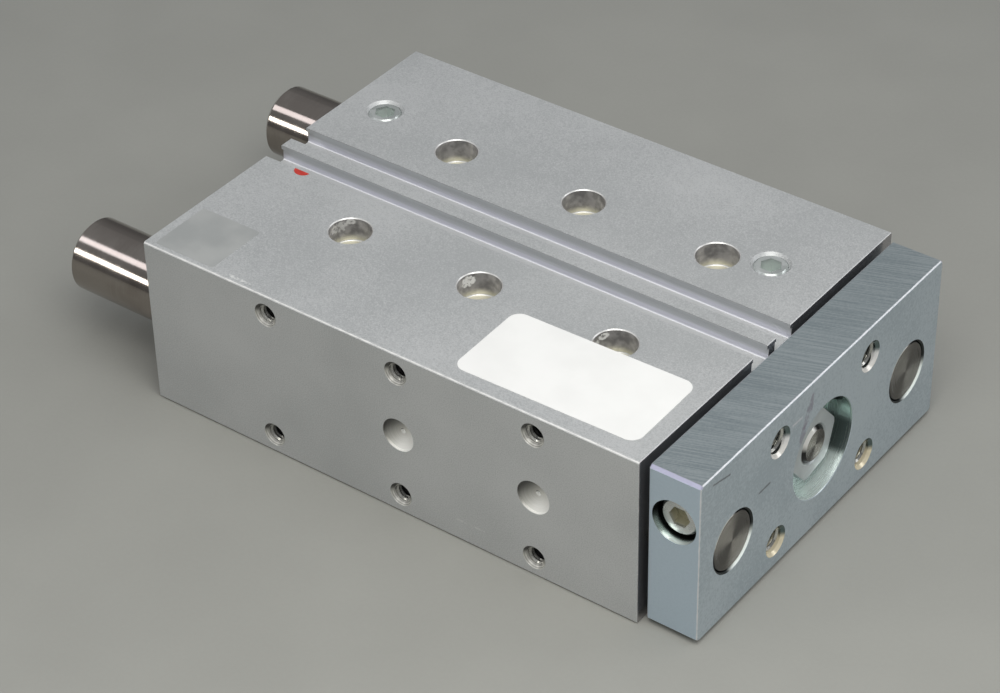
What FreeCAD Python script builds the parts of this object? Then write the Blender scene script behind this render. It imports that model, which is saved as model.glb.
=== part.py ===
import FreeCAD, Part
import os
import Sketcher

# Guided pneumatic cylinder: a block housing with one air cylinder between two guide rods, and a yoke plate
# that the piston rod and the guide rods carry. X is the stroke, Y the width, Z up. The origin is the middle
# of the housing's bottom face, and the model stands retracted. Sizes are in millimetres.

SIZES = {
    # Cylinder bore and the walls of the housing around it
    "stroke": 100,
    "bore_diameter": 32,
    "base_wall": 7.5,
    "slot_web": 4.3,
    "bore_web": 11.5,
    "side_wall": 4.5,
    "housing_chamfer": 0.5,
    "housing_end_break": 0.2,
    # Fits, all radial
    "running_clearance": 0.04,
    "seat_clearance": 0.02,
    "stop_gap": 0.1,
    # Sensor slots along the top
    "slot_spacing": 10,
    "slot_mouth": 6.2,
    "slot_undercut": 0.6,
    "slot_lip": 1.2,
    "slot_depth": 4.7,
    "slot_corner": 0.5,
    # Screw holes through the housing
    "hole_front": 29.5,
    "hole_pitch": 40,
    "screw_hole": 6.8,
    "head_recess": 11,
    "head_depth": 6.8,
    "head_chamfer": 0.25,
    "head_corner": 0.35,
    # Threaded and centring holes in the long side
    "side_hole_base": 5.5,
    "side_hole_top": 6,
    "side_tap_drill": 5,
    "side_tap_depth": 12,
    "side_tap_mouth": 6.6,
    "centring_diameter": 9,
    "centring_depth": 0.6,
    "centring_mouth": 9.3,
    "centring_mark": 1.2,
    "centring_mark_depth": 2.3,
    # Air ports, in the top and in the other long side
    "port_front": 17,
    "port_rear": 11.8,
    "port_shift": 4.6,
    "port_drop": 1,
    "port_drill": 8.8,
    "port_mouth": 10.3,
    "port_break": 1,
    "port_side_depth": 12,
    "passage": 4,
    "plug_sink": 0.4,
    "plug_length": 6,
    "plug_chamfer": 0.6,
    "plug_socket": 5,
    "plug_socket_depth": 4,
    # Guide rods, bushes and wipers
    "guide_diameter": 20,
    "guide_drop": 1.5,
    "guide_tail": 34.5,
    "guide_end_chamfer": 1.2,
    "guide_relief": 1,
    "spigot_step": 2,
    "spigot_sink": 0.3,
    "spigot_chamfer": 0.5,
    "bush_wall": 1.5,
    "bush_length": 25,
    "bush_margin": 1,
    "wiper_inset": 0.5,
    "wiper_length": 4,
    "wiper_lip": 1.6,
    "wiper_relief": 0.6,
    # Retaining rings of the cylinder
    "ring_inset": 1.3,
    "ring_thickness": 1.2,
    "ring_bite": 0.8,
    "ring_width": 3,
    "ring_opening": 9,
    "ring_lug": 5,
    "ring_lug_drop": 4.5,
    "ring_lug_hole": 2,
    # Gland and rear cap
    "gland_length": 18,
    "gland_land": 11.5,
    "gland_groove": 7,
    "cap_length": 8.3,
    "cap_boss": 2.5,
    "cap_groove": 3.8,
    "cap_rim": 6,
    "cap_dish_depth": 1,
    "boss_step": 2,
    "o_ring_section": 1.5,
    "o_ring_depth": 1.6,
    "o_ring_width": 2.2,
    "rod_seal_wall": 3.5,
    "rod_seal_length": 5,
    "rod_seal_inset": 0.2,
    "rod_seal_lip": 1.4,
    "rod_seal_hollow": 0.8,
    "seal_web": 1.5,
    "rod_bush_wall": 1,
    "rod_relief": 0.3,
    # End-of-stroke buffers
    "buffer_rim": 1.5,
    "buffer_width": 3.5,
    "buffer_seat": 1,
    "buffer_proud": 1.5,
    # Piston rod and piston
    "rod_diameter": 12,
    "rod_thread_step": 1,
    "rod_thread_proud": 0.5,
    "rod_thread_chamfer": 0.8,
    "rod_tail_step": 2,
    "rod_tail_sink": 0.6,
    "piston_side_gap": 0.3,
    "piston_front_length": 5.5,
    "piston_rear_length": 5.5,
    "seal_inset": 1,
    "seal_width": 3.4,
    "seal_section": 3.6,
    "seal_notch": 1.5,
    "seal_lip": 0.9,
    "magnet_width": 3,
    "magnet_wall": 4,
    "wear_ring": 3,
    "piston_nut_flats": 13,
    "piston_nut_height": 3.8,
    "piston_nut_room": 0.5,
    # Yoke plate
    "plate_gap": 1.5,
    "plate_thickness": 14,
    "plate_side_step": 1.75,
    "plate_base": 1,
    "plate_top_step": 1,
    "plate_chamfer": 0.8,
    "plate_edge_break": 0.35,
    "spigot_seat_chamfer": 0.4,
    "recess_chamfer": 0.2,
    "nut_sink": 2.7,
    "rod_nut_flats": 17,
    "rod_nut_height": 5,
    "rod_nut_turn": 11,
    "nut_corner_break": 0.5,
    "nut_mouth": 0.5,
    "spanner_room": 3.4,
    "tool_pitch_across": 40,
    "tool_pitch_up": 30,
    "tool_tap_drill": 6.8,
    "tool_tap_mouth": 8.3,
    # Clamping of the guide rods in the plate
    "clamp_offset": 4,
    "clamp_wall": 1,
    "clamp_screw": 6,
    "clamp_screw_room": 0.2,
    "clamp_head": 10,
    "clamp_head_height": 6,
    "clamp_head_chamfer": 0.5,
    "clamp_socket": 5,
    "clamp_socket_depth": 3,
    "clamp_split": 0.8,
    "clamp_sleeve_length": 5.6,
    "clamp_nut_length": 10,
    "clamp_end_room": 1,
}

# Radii that two pieces share
BORE_RADIUS = "(sizes.bore_diameter / 2)"
SEAT_RADIUS = f"({BORE_RADIUS} - sizes.seat_clearance)"
SLIDE_RADIUS = f"({BORE_RADIUS} - sizes.running_clearance)"
GROOVE_RADIUS = f"({BORE_RADIUS} - sizes.o_ring_depth)"
RING_RADIUS = f"({BORE_RADIUS} + sizes.ring_bite)"
BOSS_RADIUS = f"({BORE_RADIUS} - sizes.boss_step)"
BUFFER_OUTER = f"({BOSS_RADIUS} - sizes.buffer_rim)"
BUFFER_INNER = f"({BUFFER_OUTER} - sizes.buffer_width)"
ROD_RADIUS = "(sizes.rod_diameter / 2)"
ROD_SLIDE = f"({ROD_RADIUS} + sizes.running_clearance)"
ROD_SEAL_RADIUS = f"({ROD_RADIUS} + sizes.rod_seal_wall)"
ROD_BUSH_RADIUS = f"({ROD_RADIUS} + sizes.rod_bush_wall)"
THREAD_RADIUS = f"({ROD_RADIUS} - sizes.rod_thread_step)"
THREAD_HOLE = f"({THREAD_RADIUS} + sizes.seat_clearance)"
TAIL_RADIUS = f"({ROD_RADIUS} - sizes.rod_tail_step)"
TAIL_HOLE = f"({TAIL_RADIUS} + sizes.seat_clearance)"
GUIDE_RADIUS = "(sizes.guide_diameter / 2)"
GUIDE_SLIDE = f"({GUIDE_RADIUS} + sizes.running_clearance)"
BUSH_RADIUS = f"({GUIDE_RADIUS} + sizes.bush_wall)"
SPIGOT_RADIUS = f"({GUIDE_RADIUS} - sizes.spigot_step)"
SPIGOT_SEAT = f"({SPIGOT_RADIUS} + sizes.seat_clearance)"
PISTON_RADIUS = f"({BORE_RADIUS} - sizes.piston_side_gap)"
SEAL_ROOT = f"({BORE_RADIUS} - sizes.seal_section)"
MAGNET_OUTER = f"({BORE_RADIUS} - sizes.wear_ring)"
MAGNET_INNER = f"({MAGNET_OUTER} - sizes.magnet_wall)"
RECESS_RADIUS = "(sizes.rod_nut_flats / sqrt(3) + sizes.spanner_room)"
CLAMP_BORE_RADIUS = "(sizes.plate_thickness / 2 - sizes.clamp_wall)"

# Places across and up, from the walls around the bores
BORE_HEIGHT = f"(sizes.base_wall + {BORE_RADIUS})"
HOUSING_HEIGHT = f"({BORE_HEIGHT} + {BORE_RADIUS} + sizes.slot_web + sizes.slot_depth)"
GUIDE_HEIGHT = f"({BORE_HEIGHT} - sizes.guide_drop)"
GUIDE_OFFSET = f"({BORE_RADIUS} + sizes.bore_web + {BUSH_RADIUS})"
HALF_WIDTH = f"({GUIDE_OFFSET} + {BUSH_RADIUS} + sizes.side_wall)"
HOLE_OFFSET = f"({BORE_RADIUS} + sizes.bore_web / 2)"
SIDE_HOLE_LEVELS = ["sizes.side_hole_base", f"({HOUSING_HEIGHT} - sizes.side_hole_top)"]
PORT_OFFSET = f"({HOLE_OFFSET} + sizes.port_shift)"
PORT_HEIGHT = f"({BORE_HEIGHT} + {BORE_RADIUS} - sizes.port_drop)"
PLATE_HALF_WIDTH = f"({HALF_WIDTH} - sizes.plate_side_step)"
PLATE_TOP = f"({HOUSING_HEIGHT} - sizes.plate_top_step)"
CLAMP_RISE = f"({SPIGOT_RADIUS} + sizes.clamp_offset)"

# Places along the stroke, worked out from the stack of pieces in the cylinder
PISTON_LENGTH = "(sizes.piston_front_length + sizes.magnet_width + sizes.piston_rear_length)"
END_STACK = "(sizes.ring_inset + sizes.ring_thickness)"
STOP_STACK = "(sizes.buffer_proud + sizes.stop_gap)"
HOUSING_LENGTH = (
    f"(2 * {END_STACK} + 2 * {STOP_STACK} + sizes.gland_length + sizes.cap_length"
    f" + sizes.stroke + {PISTON_LENGTH})"
)
FRONT_FACE = f"({HOUSING_LENGTH} / 2)"
GLAND_FRONT = f"({FRONT_FACE} - {END_STACK})"
GLAND_BACK = f"({GLAND_FRONT} - sizes.gland_length)"
PISTON_FRONT = f"({GLAND_BACK} - {STOP_STACK} - sizes.stroke)"
CAP_FRONT = f"({PISTON_FRONT} - {PISTON_LENGTH} - {STOP_STACK})"
CAP_BACK = f"({CAP_FRONT} - sizes.cap_length)"
PLATE_BACK = f"({FRONT_FACE} + sizes.plate_gap)"
PLATE_FRONT = f"({PLATE_BACK} + sizes.plate_thickness)"
PLATE_MIDDLE = f"({PLATE_BACK} + sizes.plate_thickness / 2)"
ROD_LENGTH = f"({PLATE_BACK} - {PISTON_FRONT})"
# The rear bushes end just inside the reach of the guide rods at full stroke
BUSH_REACH = f"({HOUSING_LENGTH} + sizes.guide_tail - sizes.stroke - sizes.bush_margin)"
BUSH_START = "(sizes.wiper_inset + sizes.wiper_length)"

# Distances from a guide rod's axis along its clamp screw: to the ends of the clamp pieces, and to the head
CLAMP_HALF_SPLIT = "(sizes.clamp_split / 2)"
CLAMP_INNER_END = f"({CLAMP_HALF_SPLIT} + sizes.clamp_nut_length)"
CLAMP_HEAD_SEAT = f"({CLAMP_HALF_SPLIT} + sizes.clamp_sleeve_length)"

DRILL_ANGLE = 118
CENTRING_ANGLE = 138
COUNTERSINK_ANGLE = 90

doc = FreeCAD.newDocument("guided_cylinder")
sheet = doc.addObject("Spreadsheet::Sheet", "sizes")
for row, (alias, number) in enumerate(SIZES.items(), start=1):
    sheet.set(f"A{row}", alias)
    sheet.set(f"B{row}", str(number))
    sheet.setAlias(f"B{row}", alias)
doc.recompute()

nodes = []


def value(expression):
    """Number that an expression of the sheet's sizes comes to."""
    return float(sheet.evalExpression(expression))


def new_body(name):
    """Empty body that becomes one sub-part."""
    body = doc.addObject("PartDesign::Body", name)
    body.Label = name
    nodes.append(body)
    return body


def place(body, along="0", across="0", height="0", turn=0):
    """Seat a finished piece: expressions for its place, and a turn in degrees about the upright axis."""
    body.Placement = FreeCAD.Placement(FreeCAD.Vector(), FreeCAD.Rotation(FreeCAD.Vector(0, 0, 1), turn))
    body.setExpression("Placement.Base.x", along)
    body.setExpression("Placement.Base.y", across)
    body.setExpression("Placement.Base.z", height)


def new_sketch(body, name, plane, lift="0", rise="0"):
    """Sketch on an origin plane of the body, lifted along the plane's normal and raised in the plane."""
    sketch = body.newObject("Sketcher::SketchObject", f"{body.Name}_{name}")
    support = [feature for feature in body.Origin.OriginFeatures if feature.Role == plane][0]
    sketch.AttachmentSupport = [(support, "")]
    sketch.MapMode = "FlatFace"
    sketch.setExpression("AttachmentOffset.Base.z", lift)
    sketch.setExpression("AttachmentOffset.Base.y", rise)
    return sketch


def pin_point(sketch, edge, point, across, up):
    """Tie a sketch point to expressions for its two coordinates."""
    for kind, axis, expression in (("DistanceX", -2, across), ("DistanceY", -1, up)):
        if expression == "0":
            sketch.addConstraint(Sketcher.Constraint("PointOnObject", edge, point, axis))
        else:
            rule = Sketcher.Constraint(kind, -1, 1, edge, point, value(expression))
            index = sketch.addConstraint(rule)
            sketch.setExpression(f"Constraints[{index}]", expression)


def draw_outline(sketch, corners):
    """Closed run of straight edges through corners that are pairs of expressions."""
    first = sketch.GeometryCount
    count = len(corners)
    spots = [FreeCAD.Vector(value(across), value(up), 0) for across, up in corners]
    for index in range(count):
        sketch.addGeometry(Part.LineSegment(spots[index], spots[(index + 1) % count]), False)
    for index in range(count):
        following = first + (index + 1) % count
        sketch.addConstraint(Sketcher.Constraint("Coincident", first + index, 2, following, 1))
    for index, (across, up) in enumerate(corners):
        pin_point(sketch, first + index, 1, across, up)


def draw_box(sketch, left, right, low, high):
    """Upright rectangle between four expressions."""
    draw_outline(sketch, [(left, low), (right, low), (right, high), (left, high)])


def draw_circle(sketch, across, up, diameter):
    """Circle with expressions for its centre and diameter."""
    edge = sketch.GeometryCount
    centre = FreeCAD.Vector(value(across), value(up), 0)
    sketch.addGeometry(Part.Circle(centre, FreeCAD.Vector(0, 0, 1), value(diameter) / 2), False)
    pin_point(sketch, edge, 3, across, up)
    index = sketch.addConstraint(Sketcher.Constraint("Diameter", edge, value(diameter)))
    sketch.setExpression(f"Constraints[{index}]", diameter)


def draw_hexagon(sketch, across, up, flats, turn="0"):
    """Regular hexagon of a given width across flats, turned by an expression in degrees."""
    reach = f"({flats}) / sqrt(3)"
    corners = []
    for step in range(6):
        angle = f"({turn} + {60 * step}) * 1deg"
        corners.append((f"{across} + {reach} * cos({angle})", f"{up} + {reach} * sin({angle})"))
    draw_outline(sketch, corners)


def add_pad(body, sketch, length, symmetric=False):
    """Solid that stands on a sketch."""
    pad = body.newObject("PartDesign::Pad", f"{sketch.Name}_pad")
    pad.Profile = sketch
    pad.setExpression("Length", length)
    if symmetric:
        pad.SideType = "Symmetric"
    doc.recompute()
    return pad


def add_turned(body, sketch):
    """Solid of revolution about the sketch's own first axis."""
    turned = body.newObject("PartDesign::Revolution", f"{sketch.Name}_turned")
    turned.Profile = sketch
    turned.ReferenceAxis = (sketch, ["H_Axis"])
    turned.Angle = 360
    doc.recompute()
    return turned


def confirm_cut(body, feature, before):
    """Stop where a cut took nothing away."""
    doc.recompute()
    if body.Shape.Volume >= before - 1e-6:
        raise RuntimeError(f"{feature.Name} cuts nothing")
    return feature


def add_pocket(body, sketch, depth=None, reverse=False):
    """Cut a sketch into the body, to a depth or right through both ways."""
    before = body.Shape.Volume
    pocket = body.newObject("PartDesign::Pocket", f"{sketch.Name}_pocket")
    pocket.Profile = sketch
    pocket.Reversed = reverse
    if depth is None:
        pocket.Type = "ThroughAll"
        pocket.SideType = "Symmetric"
    else:
        pocket.setExpression("Length", depth)
    return confirm_cut(body, pocket, before)


def add_groove(body, sketch):
    """Turned cut about the sketch's own first axis."""
    before = body.Shape.Volume
    groove = body.newObject("PartDesign::Groove", f"{sketch.Name}_groove")
    groove.Profile = sketch
    groove.ReferenceAxis = (sketch, ["H_Axis"])
    groove.Angle = 360
    return confirm_cut(body, groove, before)


def add_hole(body, sketch, diameter, depth=None, mouth=None, recess=None, point=DRILL_ANGLE, reverse=False):
    """Drilled holes on the sketch's circles, with a countersunk mouth or a recess for a screw head."""
    doc.recompute()
    before = body.Shape.Volume
    hole = body.newObject("PartDesign::Hole", f"{sketch.Name}_hole")
    hole.Profile = sketch
    doc.recompute()
    hole.Threaded = False
    hole.Reversed = reverse
    hole.setExpression("Diameter", diameter)
    if depth is None:
        hole.DepthType = "ThroughAll"
    else:
        hole.DepthType = "Dimension"
        hole.setExpression("Depth", depth)
        hole.DrillPoint = "Angled"
        hole.DrillPointAngle = point
    if mouth:
        hole.HoleCutType = "Countersink"
        hole.HoleCutCustomValues = True
        hole.setExpression("HoleCutDiameter", mouth)
        hole.HoleCutCountersinkAngle = COUNTERSINK_ANGLE
    if recess:
        hole.HoleCutType = "Counterbore"
        hole.HoleCutCustomValues = True
        hole.setExpression("HoleCutDiameter", recess[0])
        hole.setExpression("HoleCutDepth", recess[1])
    return confirm_cut(body, hole, before)


def near(first, second):
    """True where two lengths are the same."""
    return abs(first - second) < 1e-4


def box_limits(shape):
    """Lowest and highest value of a shape along each of the three axes."""
    box = shape.BoundBox
    return (box.XMin, box.XMax), (box.YMin, box.YMax), (box.ZMin, box.ZMax)


def long_edges(shape):
    """Names of the four edges of a shape's box that run along the stroke."""
    names = []
    for index, edge in enumerate(shape.Edges, start=1):
        ends = [vertex.Point for vertex in edge.Vertexes]
        sides = 0
        for axis, limits in enumerate(box_limits(shape)):
            sides += axis > 0 and any(all(near(end[axis], limit) for end in ends) for limit in limits)
        if sides == 2:
            names.append(f"Edge{index}")
    return names


def end_edges(shape, margin):
    """Names of the edges round a shape's front and back face, with corners that are cut by a margin."""
    ends, *borders = box_limits(shape)
    names = []
    for index, edge in enumerate(shape.Edges, start=1):
        spots = [vertex.Point for vertex in edge.Vertexes] + [edge.CenterOfMass]
        on_end = any(all(near(spot[0], limit) for spot in spots) for limit in ends)
        gaps = []
        for spot in spots:
            gaps.append(min(abs(spot[axis] - limit) for axis in (1, 2) for limit in borders[axis - 1]))
        if on_end and (max(gaps) < margin or near(max(gaps), margin)):
            names.append(f"Edge{index}")
    return names


def round_edges(shape, radius, axis, level):
    """Names of the circles of a radius that lie in the plane where one coordinate has a level."""
    names = []
    for index, edge in enumerate(shape.Edges, start=1):
        curve = edge.Curve
        if isinstance(curve, Part.Circle) and near(curve.Radius, radius) and near(curve.Center[axis], level):
            if near(abs(curve.Axis[axis]), 1):
                names.append(f"Edge{index}")
    return names


def add_edge_cut(body, kind, names, size):
    """Chamfer or fillet on named edges of the body so far."""
    base = body.Tip
    feature = body.newObject(f"PartDesign::{kind}", f"{body.Name}_{kind}")
    feature.Base = (base, names)
    feature.setExpression("Radius" if kind == "Fillet" else "Size", size)
    doc.recompute()
    return feature


def turned_piece(name, profile, along="0", across="0", height="0"):
    """Body turned from a profile of pairs: place along the axis, radius."""
    body = new_body(name)
    sketch = new_sketch(body, "profile", "XZ_Plane")
    draw_outline(sketch, profile)
    add_turned(body, sketch)
    place(body, along, across, height)
    return body


def ring_piece(name, inner, outer, length, along, across="0", height="0"):
    """Plain ring that reaches back from its front face."""
    profile = [("0", inner), ("0", outer), (f"-({length})", outer), (f"-({length})", inner)]
    return turned_piece(name, profile, along, across, height)


def o_ring(name, along):
    """Round-section ring in the groove of a cylinder end."""
    ring = doc.addObject("Part::Torus", name)
    ring.Label = name
    ring.setExpression("Radius2", "sizes.o_ring_section / 2")
    ring.setExpression("Radius1", f"{GROOVE_RADIUS} + sizes.seat_clearance + sizes.o_ring_section / 2")
    ring.Placement = FreeCAD.Placement(FreeCAD.Vector(), FreeCAD.Rotation(FreeCAD.Vector(0, 1, 0), 90))
    ring.setExpression("Placement.Base.x", along)
    ring.setExpression("Placement.Base.z", BORE_HEIGHT)
    nodes.append(ring)


def hole_row_places():
    """Places along the housing of the three rows of mounting holes."""
    return [f"{FRONT_FACE} - sizes.hole_front - {step} * sizes.hole_pitch" for step in range(3)]


def port_places():
    """Places along the housing of the front and the rear air port."""
    return [f"{FRONT_FACE} - sizes.port_front", f"-{FRONT_FACE} + sizes.port_rear"]


def guide_sides():
    """Name and place across of the two guide rods: left is +Y, right is -Y."""
    return [("left", GUIDE_OFFSET), ("right", f"-{GUIDE_OFFSET}")]


def make_housing():
    """Extruded block with the cylinder bore, guide bores, sensor slots, mounting holes and air ports."""
    body = new_body("housing")
    block = new_sketch(body, "block", "YZ_Plane")
    draw_box(block, f"-{HALF_WIDTH}", HALF_WIDTH, "0", HOUSING_HEIGHT)
    draw_circle(block, "0", BORE_HEIGHT, "sizes.bore_diameter")
    for _, across in guide_sides():
        draw_circle(block, across, GUIDE_HEIGHT, "sizes.guide_diameter + 2 * sizes.guide_relief")
    add_pad(body, block, HOUSING_LENGTH, symmetric=True)

    slots = new_sketch(body, "slots", "YZ_Plane")
    for sign in ("-", ""):
        middle = f"{sign}sizes.slot_spacing / 2"
        lip = f"{HOUSING_HEIGHT} - sizes.slot_lip"
        floor = f"{HOUSING_HEIGHT} - sizes.slot_depth"
        mouth = "sizes.slot_mouth / 2"
        cavity = "(sizes.slot_mouth / 2 + sizes.slot_undercut)"
        right_half = [(mouth, HOUSING_HEIGHT), (mouth, lip), (cavity, lip), (cavity, floor)]
        corners = [(f"{middle} + {reach}", level) for reach, level in right_half]
        corners += [(f"{middle} - {reach}", level) for reach, level in reversed(right_half)]
        draw_outline(slots, corners)
    add_pocket(body, slots)

    add_edge_cut(body, "Chamfer", long_edges(body.Shape), "sizes.housing_chamfer")
    ends = end_edges(body.Shape, value("sizes.housing_chamfer"))
    add_edge_cut(body, "Chamfer", ends, "sizes.housing_end_break")
    floor_level = value(f"{HOUSING_HEIGHT} - sizes.slot_depth")
    long_edge = value(f"{HOUSING_LENGTH} / 2")
    floor_edges = []
    for index, edge in enumerate(body.Shape.Edges, start=1):
        if near(edge.BoundBox.ZMin, floor_level) and near(edge.BoundBox.ZMax, floor_level):
            if edge.BoundBox.XLength > long_edge:
                floor_edges.append(f"Edge{index}")
    add_edge_cut(body, "Fillet", floor_edges, "sizes.slot_corner")

    seats = new_sketch(body, "seats", "YZ_Plane", lift=FRONT_FACE)
    for _, across in guide_sides():
        draw_circle(seats, across, GUIDE_HEIGHT, f"2 * ({BUSH_RADIUS} + sizes.seat_clearance)")
    add_pocket(body, seats, BUSH_REACH)

    rings = new_sketch(body, "rings", "XZ_Plane", rise=BORE_HEIGHT)
    ring_top = f"{RING_RADIUS} + sizes.seat_clearance"
    draw_box(rings, GLAND_FRONT, f"{FRONT_FACE} - sizes.ring_inset", SEAT_RADIUS, ring_top)
    draw_box(rings, f"-{FRONT_FACE} + sizes.ring_inset", CAP_BACK, SEAT_RADIUS, ring_top)
    add_groove(body, rings)

    screws = new_sketch(body, "screws", "XY_Plane", lift=HOUSING_HEIGHT)
    for along in hole_row_places():
        for sign in ("-", ""):
            draw_circle(screws, along, f"{sign}{HOLE_OFFSET}", "sizes.screw_hole")
    add_hole(body, screws, "sizes.screw_hole", recess=("sizes.head_recess", "sizes.head_depth"))
    head_radius = value("sizes.head_recess / 2")
    rims = round_edges(body.Shape, head_radius, 2, value(HOUSING_HEIGHT))
    add_edge_cut(body, "Chamfer", rims, "sizes.head_chamfer")
    floors = round_edges(body.Shape, head_radius, 2, value(f"{HOUSING_HEIGHT} - sizes.head_depth"))
    add_edge_cut(body, "Fillet", floors, "sizes.head_corner")

    taps = new_sketch(body, "taps", "XZ_Plane", lift=HALF_WIDTH)
    for along in hole_row_places():
        for level in SIDE_HOLE_LEVELS:
            draw_circle(taps, along, level, "sizes.side_tap_drill")
    add_hole(body, taps, "sizes.side_tap_drill", "sizes.side_tap_depth", mouth="sizes.side_tap_mouth")

    centring = new_sketch(body, "centring", "XZ_Plane", lift=HALF_WIDTH)
    drill_marks = new_sketch(body, "drill_marks", "XZ_Plane", lift=HALF_WIDTH)
    centring_level = f"({' + '.join(SIDE_HOLE_LEVELS)}) / 2"
    for along in hole_row_places()[:2]:
        draw_circle(centring, along, centring_level, "sizes.centring_diameter")
        draw_circle(drill_marks, along, centring_level, "sizes.centring_mark")
    add_hole(
        body, centring, "sizes.centring_diameter", "sizes.centring_depth",
        mouth="sizes.centring_mouth", point=CENTRING_ANGLE,
    )
    add_hole(body, drill_marks, "sizes.centring_mark", "sizes.centring_mark_depth")

    top_ports = new_sketch(body, "top_ports", "XY_Plane", lift=HOUSING_HEIGHT)
    side_ports = new_sketch(body, "side_ports", "XZ_Plane", lift=f"-{HALF_WIDTH}")
    passages = new_sketch(body, "passages", "XZ_Plane")
    for along in port_places():
        draw_circle(top_ports, along, PORT_OFFSET, "sizes.port_drill")
        draw_circle(side_ports, along, PORT_HEIGHT, "sizes.port_drill")
        draw_circle(passages, along, PORT_HEIGHT, "sizes.passage")
    mouth = "sizes.port_mouth"
    top_depth = f"{HOUSING_HEIGHT} - {PORT_HEIGHT} - sizes.port_break"
    add_hole(body, top_ports, "sizes.port_drill", top_depth, mouth=mouth)
    add_hole(body, side_ports, "sizes.port_drill", "sizes.port_side_depth", mouth=mouth, reverse=True)
    add_pocket(body, passages, f"{HALF_WIDTH} - sizes.port_side_depth")


def make_plugs():
    """Socket plugs that close the two top ports, just below the top face."""
    for name, along in zip(("port_plug_front", "port_plug_rear"), port_places()):
        body = new_body(name)
        disc = new_sketch(body, "disc", "XY_Plane", lift="-sizes.plug_length")
        draw_circle(disc, "0", "0", "sizes.port_drill - 2 * sizes.seat_clearance")
        add_pad(body, disc, "sizes.plug_length")
        rims = round_edges(body.Shape, value("sizes.port_drill / 2 - sizes.seat_clearance"), 2, 0)
        add_edge_cut(body, "Chamfer", rims, "sizes.plug_chamfer")
        socket = new_sketch(body, "socket", "XY_Plane")
        draw_hexagon(socket, "0", "0", "sizes.plug_socket")
        add_pocket(body, socket, "sizes.plug_socket_depth")
        place(body, along, PORT_OFFSET, f"{HOUSING_HEIGHT} - sizes.plug_sink")


def make_retaining_ring(name, along):
    """Open spring ring for a bore, with two eyes for pliers beside its opening."""
    body = new_body(name)
    band = new_sketch(body, "band", "YZ_Plane")
    draw_circle(band, "0", "0", f"2 * {RING_RADIUS}")
    draw_circle(band, "0", "0", f"2 * ({BORE_RADIUS} - sizes.ring_width)")
    add_pad(body, band, "sizes.ring_thickness")
    opening = new_sketch(body, "opening", "YZ_Plane", lift="sizes.ring_thickness")
    half = "sizes.ring_opening / 2"
    draw_box(opening, f"-{half}", half, f"-{RING_RADIUS} - sizes.ring_width", "0")
    add_pocket(body, opening, "sizes.ring_thickness")
    lugs = new_sketch(body, "lugs", "YZ_Plane")
    eyes = new_sketch(body, "eyes", "YZ_Plane", lift="sizes.ring_thickness")
    for sign in ("-", ""):
        across = f"{sign}({half} + sizes.ring_lug / 2)"
        up = f"-({BORE_RADIUS} - sizes.ring_lug_drop)"
        draw_circle(lugs, across, up, "sizes.ring_lug")
        draw_circle(eyes, across, up, "sizes.ring_lug_hole")
    add_pad(body, lugs, "sizes.ring_thickness")
    add_pocket(body, eyes, "sizes.ring_thickness")
    place(body, along, "0", BORE_HEIGHT)


def make_gland():
    """Front bearing cap with its seal, bush, ring and buffer."""
    axis = BORE_HEIGHT
    groove_end = "-(sizes.gland_groove + sizes.o_ring_width)"
    back = "-sizes.gland_length"
    buffer_floor = "-(sizes.gland_length - sizes.buffer_seat)"
    bush_seat = f"{ROD_BUSH_RADIUS} + sizes.seat_clearance"
    web = "-(sizes.rod_seal_length + sizes.seal_web)"
    relief = f"{ROD_RADIUS} + sizes.rod_relief"
    turned_piece("gland", [
        ("0", ROD_SEAL_RADIUS),
        ("0", SEAT_RADIUS),
        ("-sizes.gland_groove", SEAT_RADIUS),
        ("-sizes.gland_groove", GROOVE_RADIUS),
        (groove_end, GROOVE_RADIUS),
        (groove_end, SEAT_RADIUS),
        ("-sizes.gland_land", SEAT_RADIUS),
        ("-sizes.gland_land", BOSS_RADIUS),
        (back, BOSS_RADIUS),
        (back, BUFFER_OUTER),
        (buffer_floor, BUFFER_OUTER),
        (buffer_floor, BUFFER_INNER),
        (back, BUFFER_INNER),
        (back, bush_seat),
        (web, bush_seat),
        (web, relief),
        ("-sizes.rod_seal_length", relief),
        ("-sizes.rod_seal_length", ROD_SEAL_RADIUS),
    ], GLAND_FRONT, "0", axis)
    o_ring("gland_o_ring", f"{GLAND_FRONT} - sizes.gland_groove - sizes.o_ring_width / 2")
    make_retaining_ring("gland_retaining_ring", GLAND_FRONT)
    bush_length = "sizes.gland_length - sizes.rod_seal_length - sizes.seal_web"
    bush_front = f"{GLAND_BACK} + {bush_length}"
    ring_piece("rod_bush", ROD_SLIDE, ROD_BUSH_RADIUS, bush_length, bush_front, "0", axis)
    hollow = f"{ROD_SLIDE} + sizes.rod_seal_hollow"
    seal_rim = f"{ROD_SEAL_RADIUS} - sizes.seat_clearance"
    turned_piece("rod_seal", [
        ("-sizes.rod_seal_inset", ROD_SLIDE),
        ("-sizes.rod_seal_inset", seal_rim),
        ("-sizes.rod_seal_length", seal_rim),
        ("-sizes.rod_seal_length", ROD_SLIDE),
        ("-(sizes.rod_seal_length - sizes.rod_seal_lip)", hollow),
        ("-(sizes.rod_seal_inset + sizes.rod_seal_lip)", hollow),
    ], GLAND_FRONT, "0", axis)
    make_buffer("front_buffer", f"{GLAND_BACK} + sizes.buffer_seat")


def make_buffer(name, along):
    """Elastic ring that stands proud of a cylinder end."""
    inner = f"{BUFFER_INNER} + sizes.seat_clearance"
    outer = f"{BUFFER_OUTER} - sizes.seat_clearance"
    length = "sizes.buffer_seat + sizes.buffer_proud"
    ring_piece(name, inner, outer, length, along, "0", BORE_HEIGHT)


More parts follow.
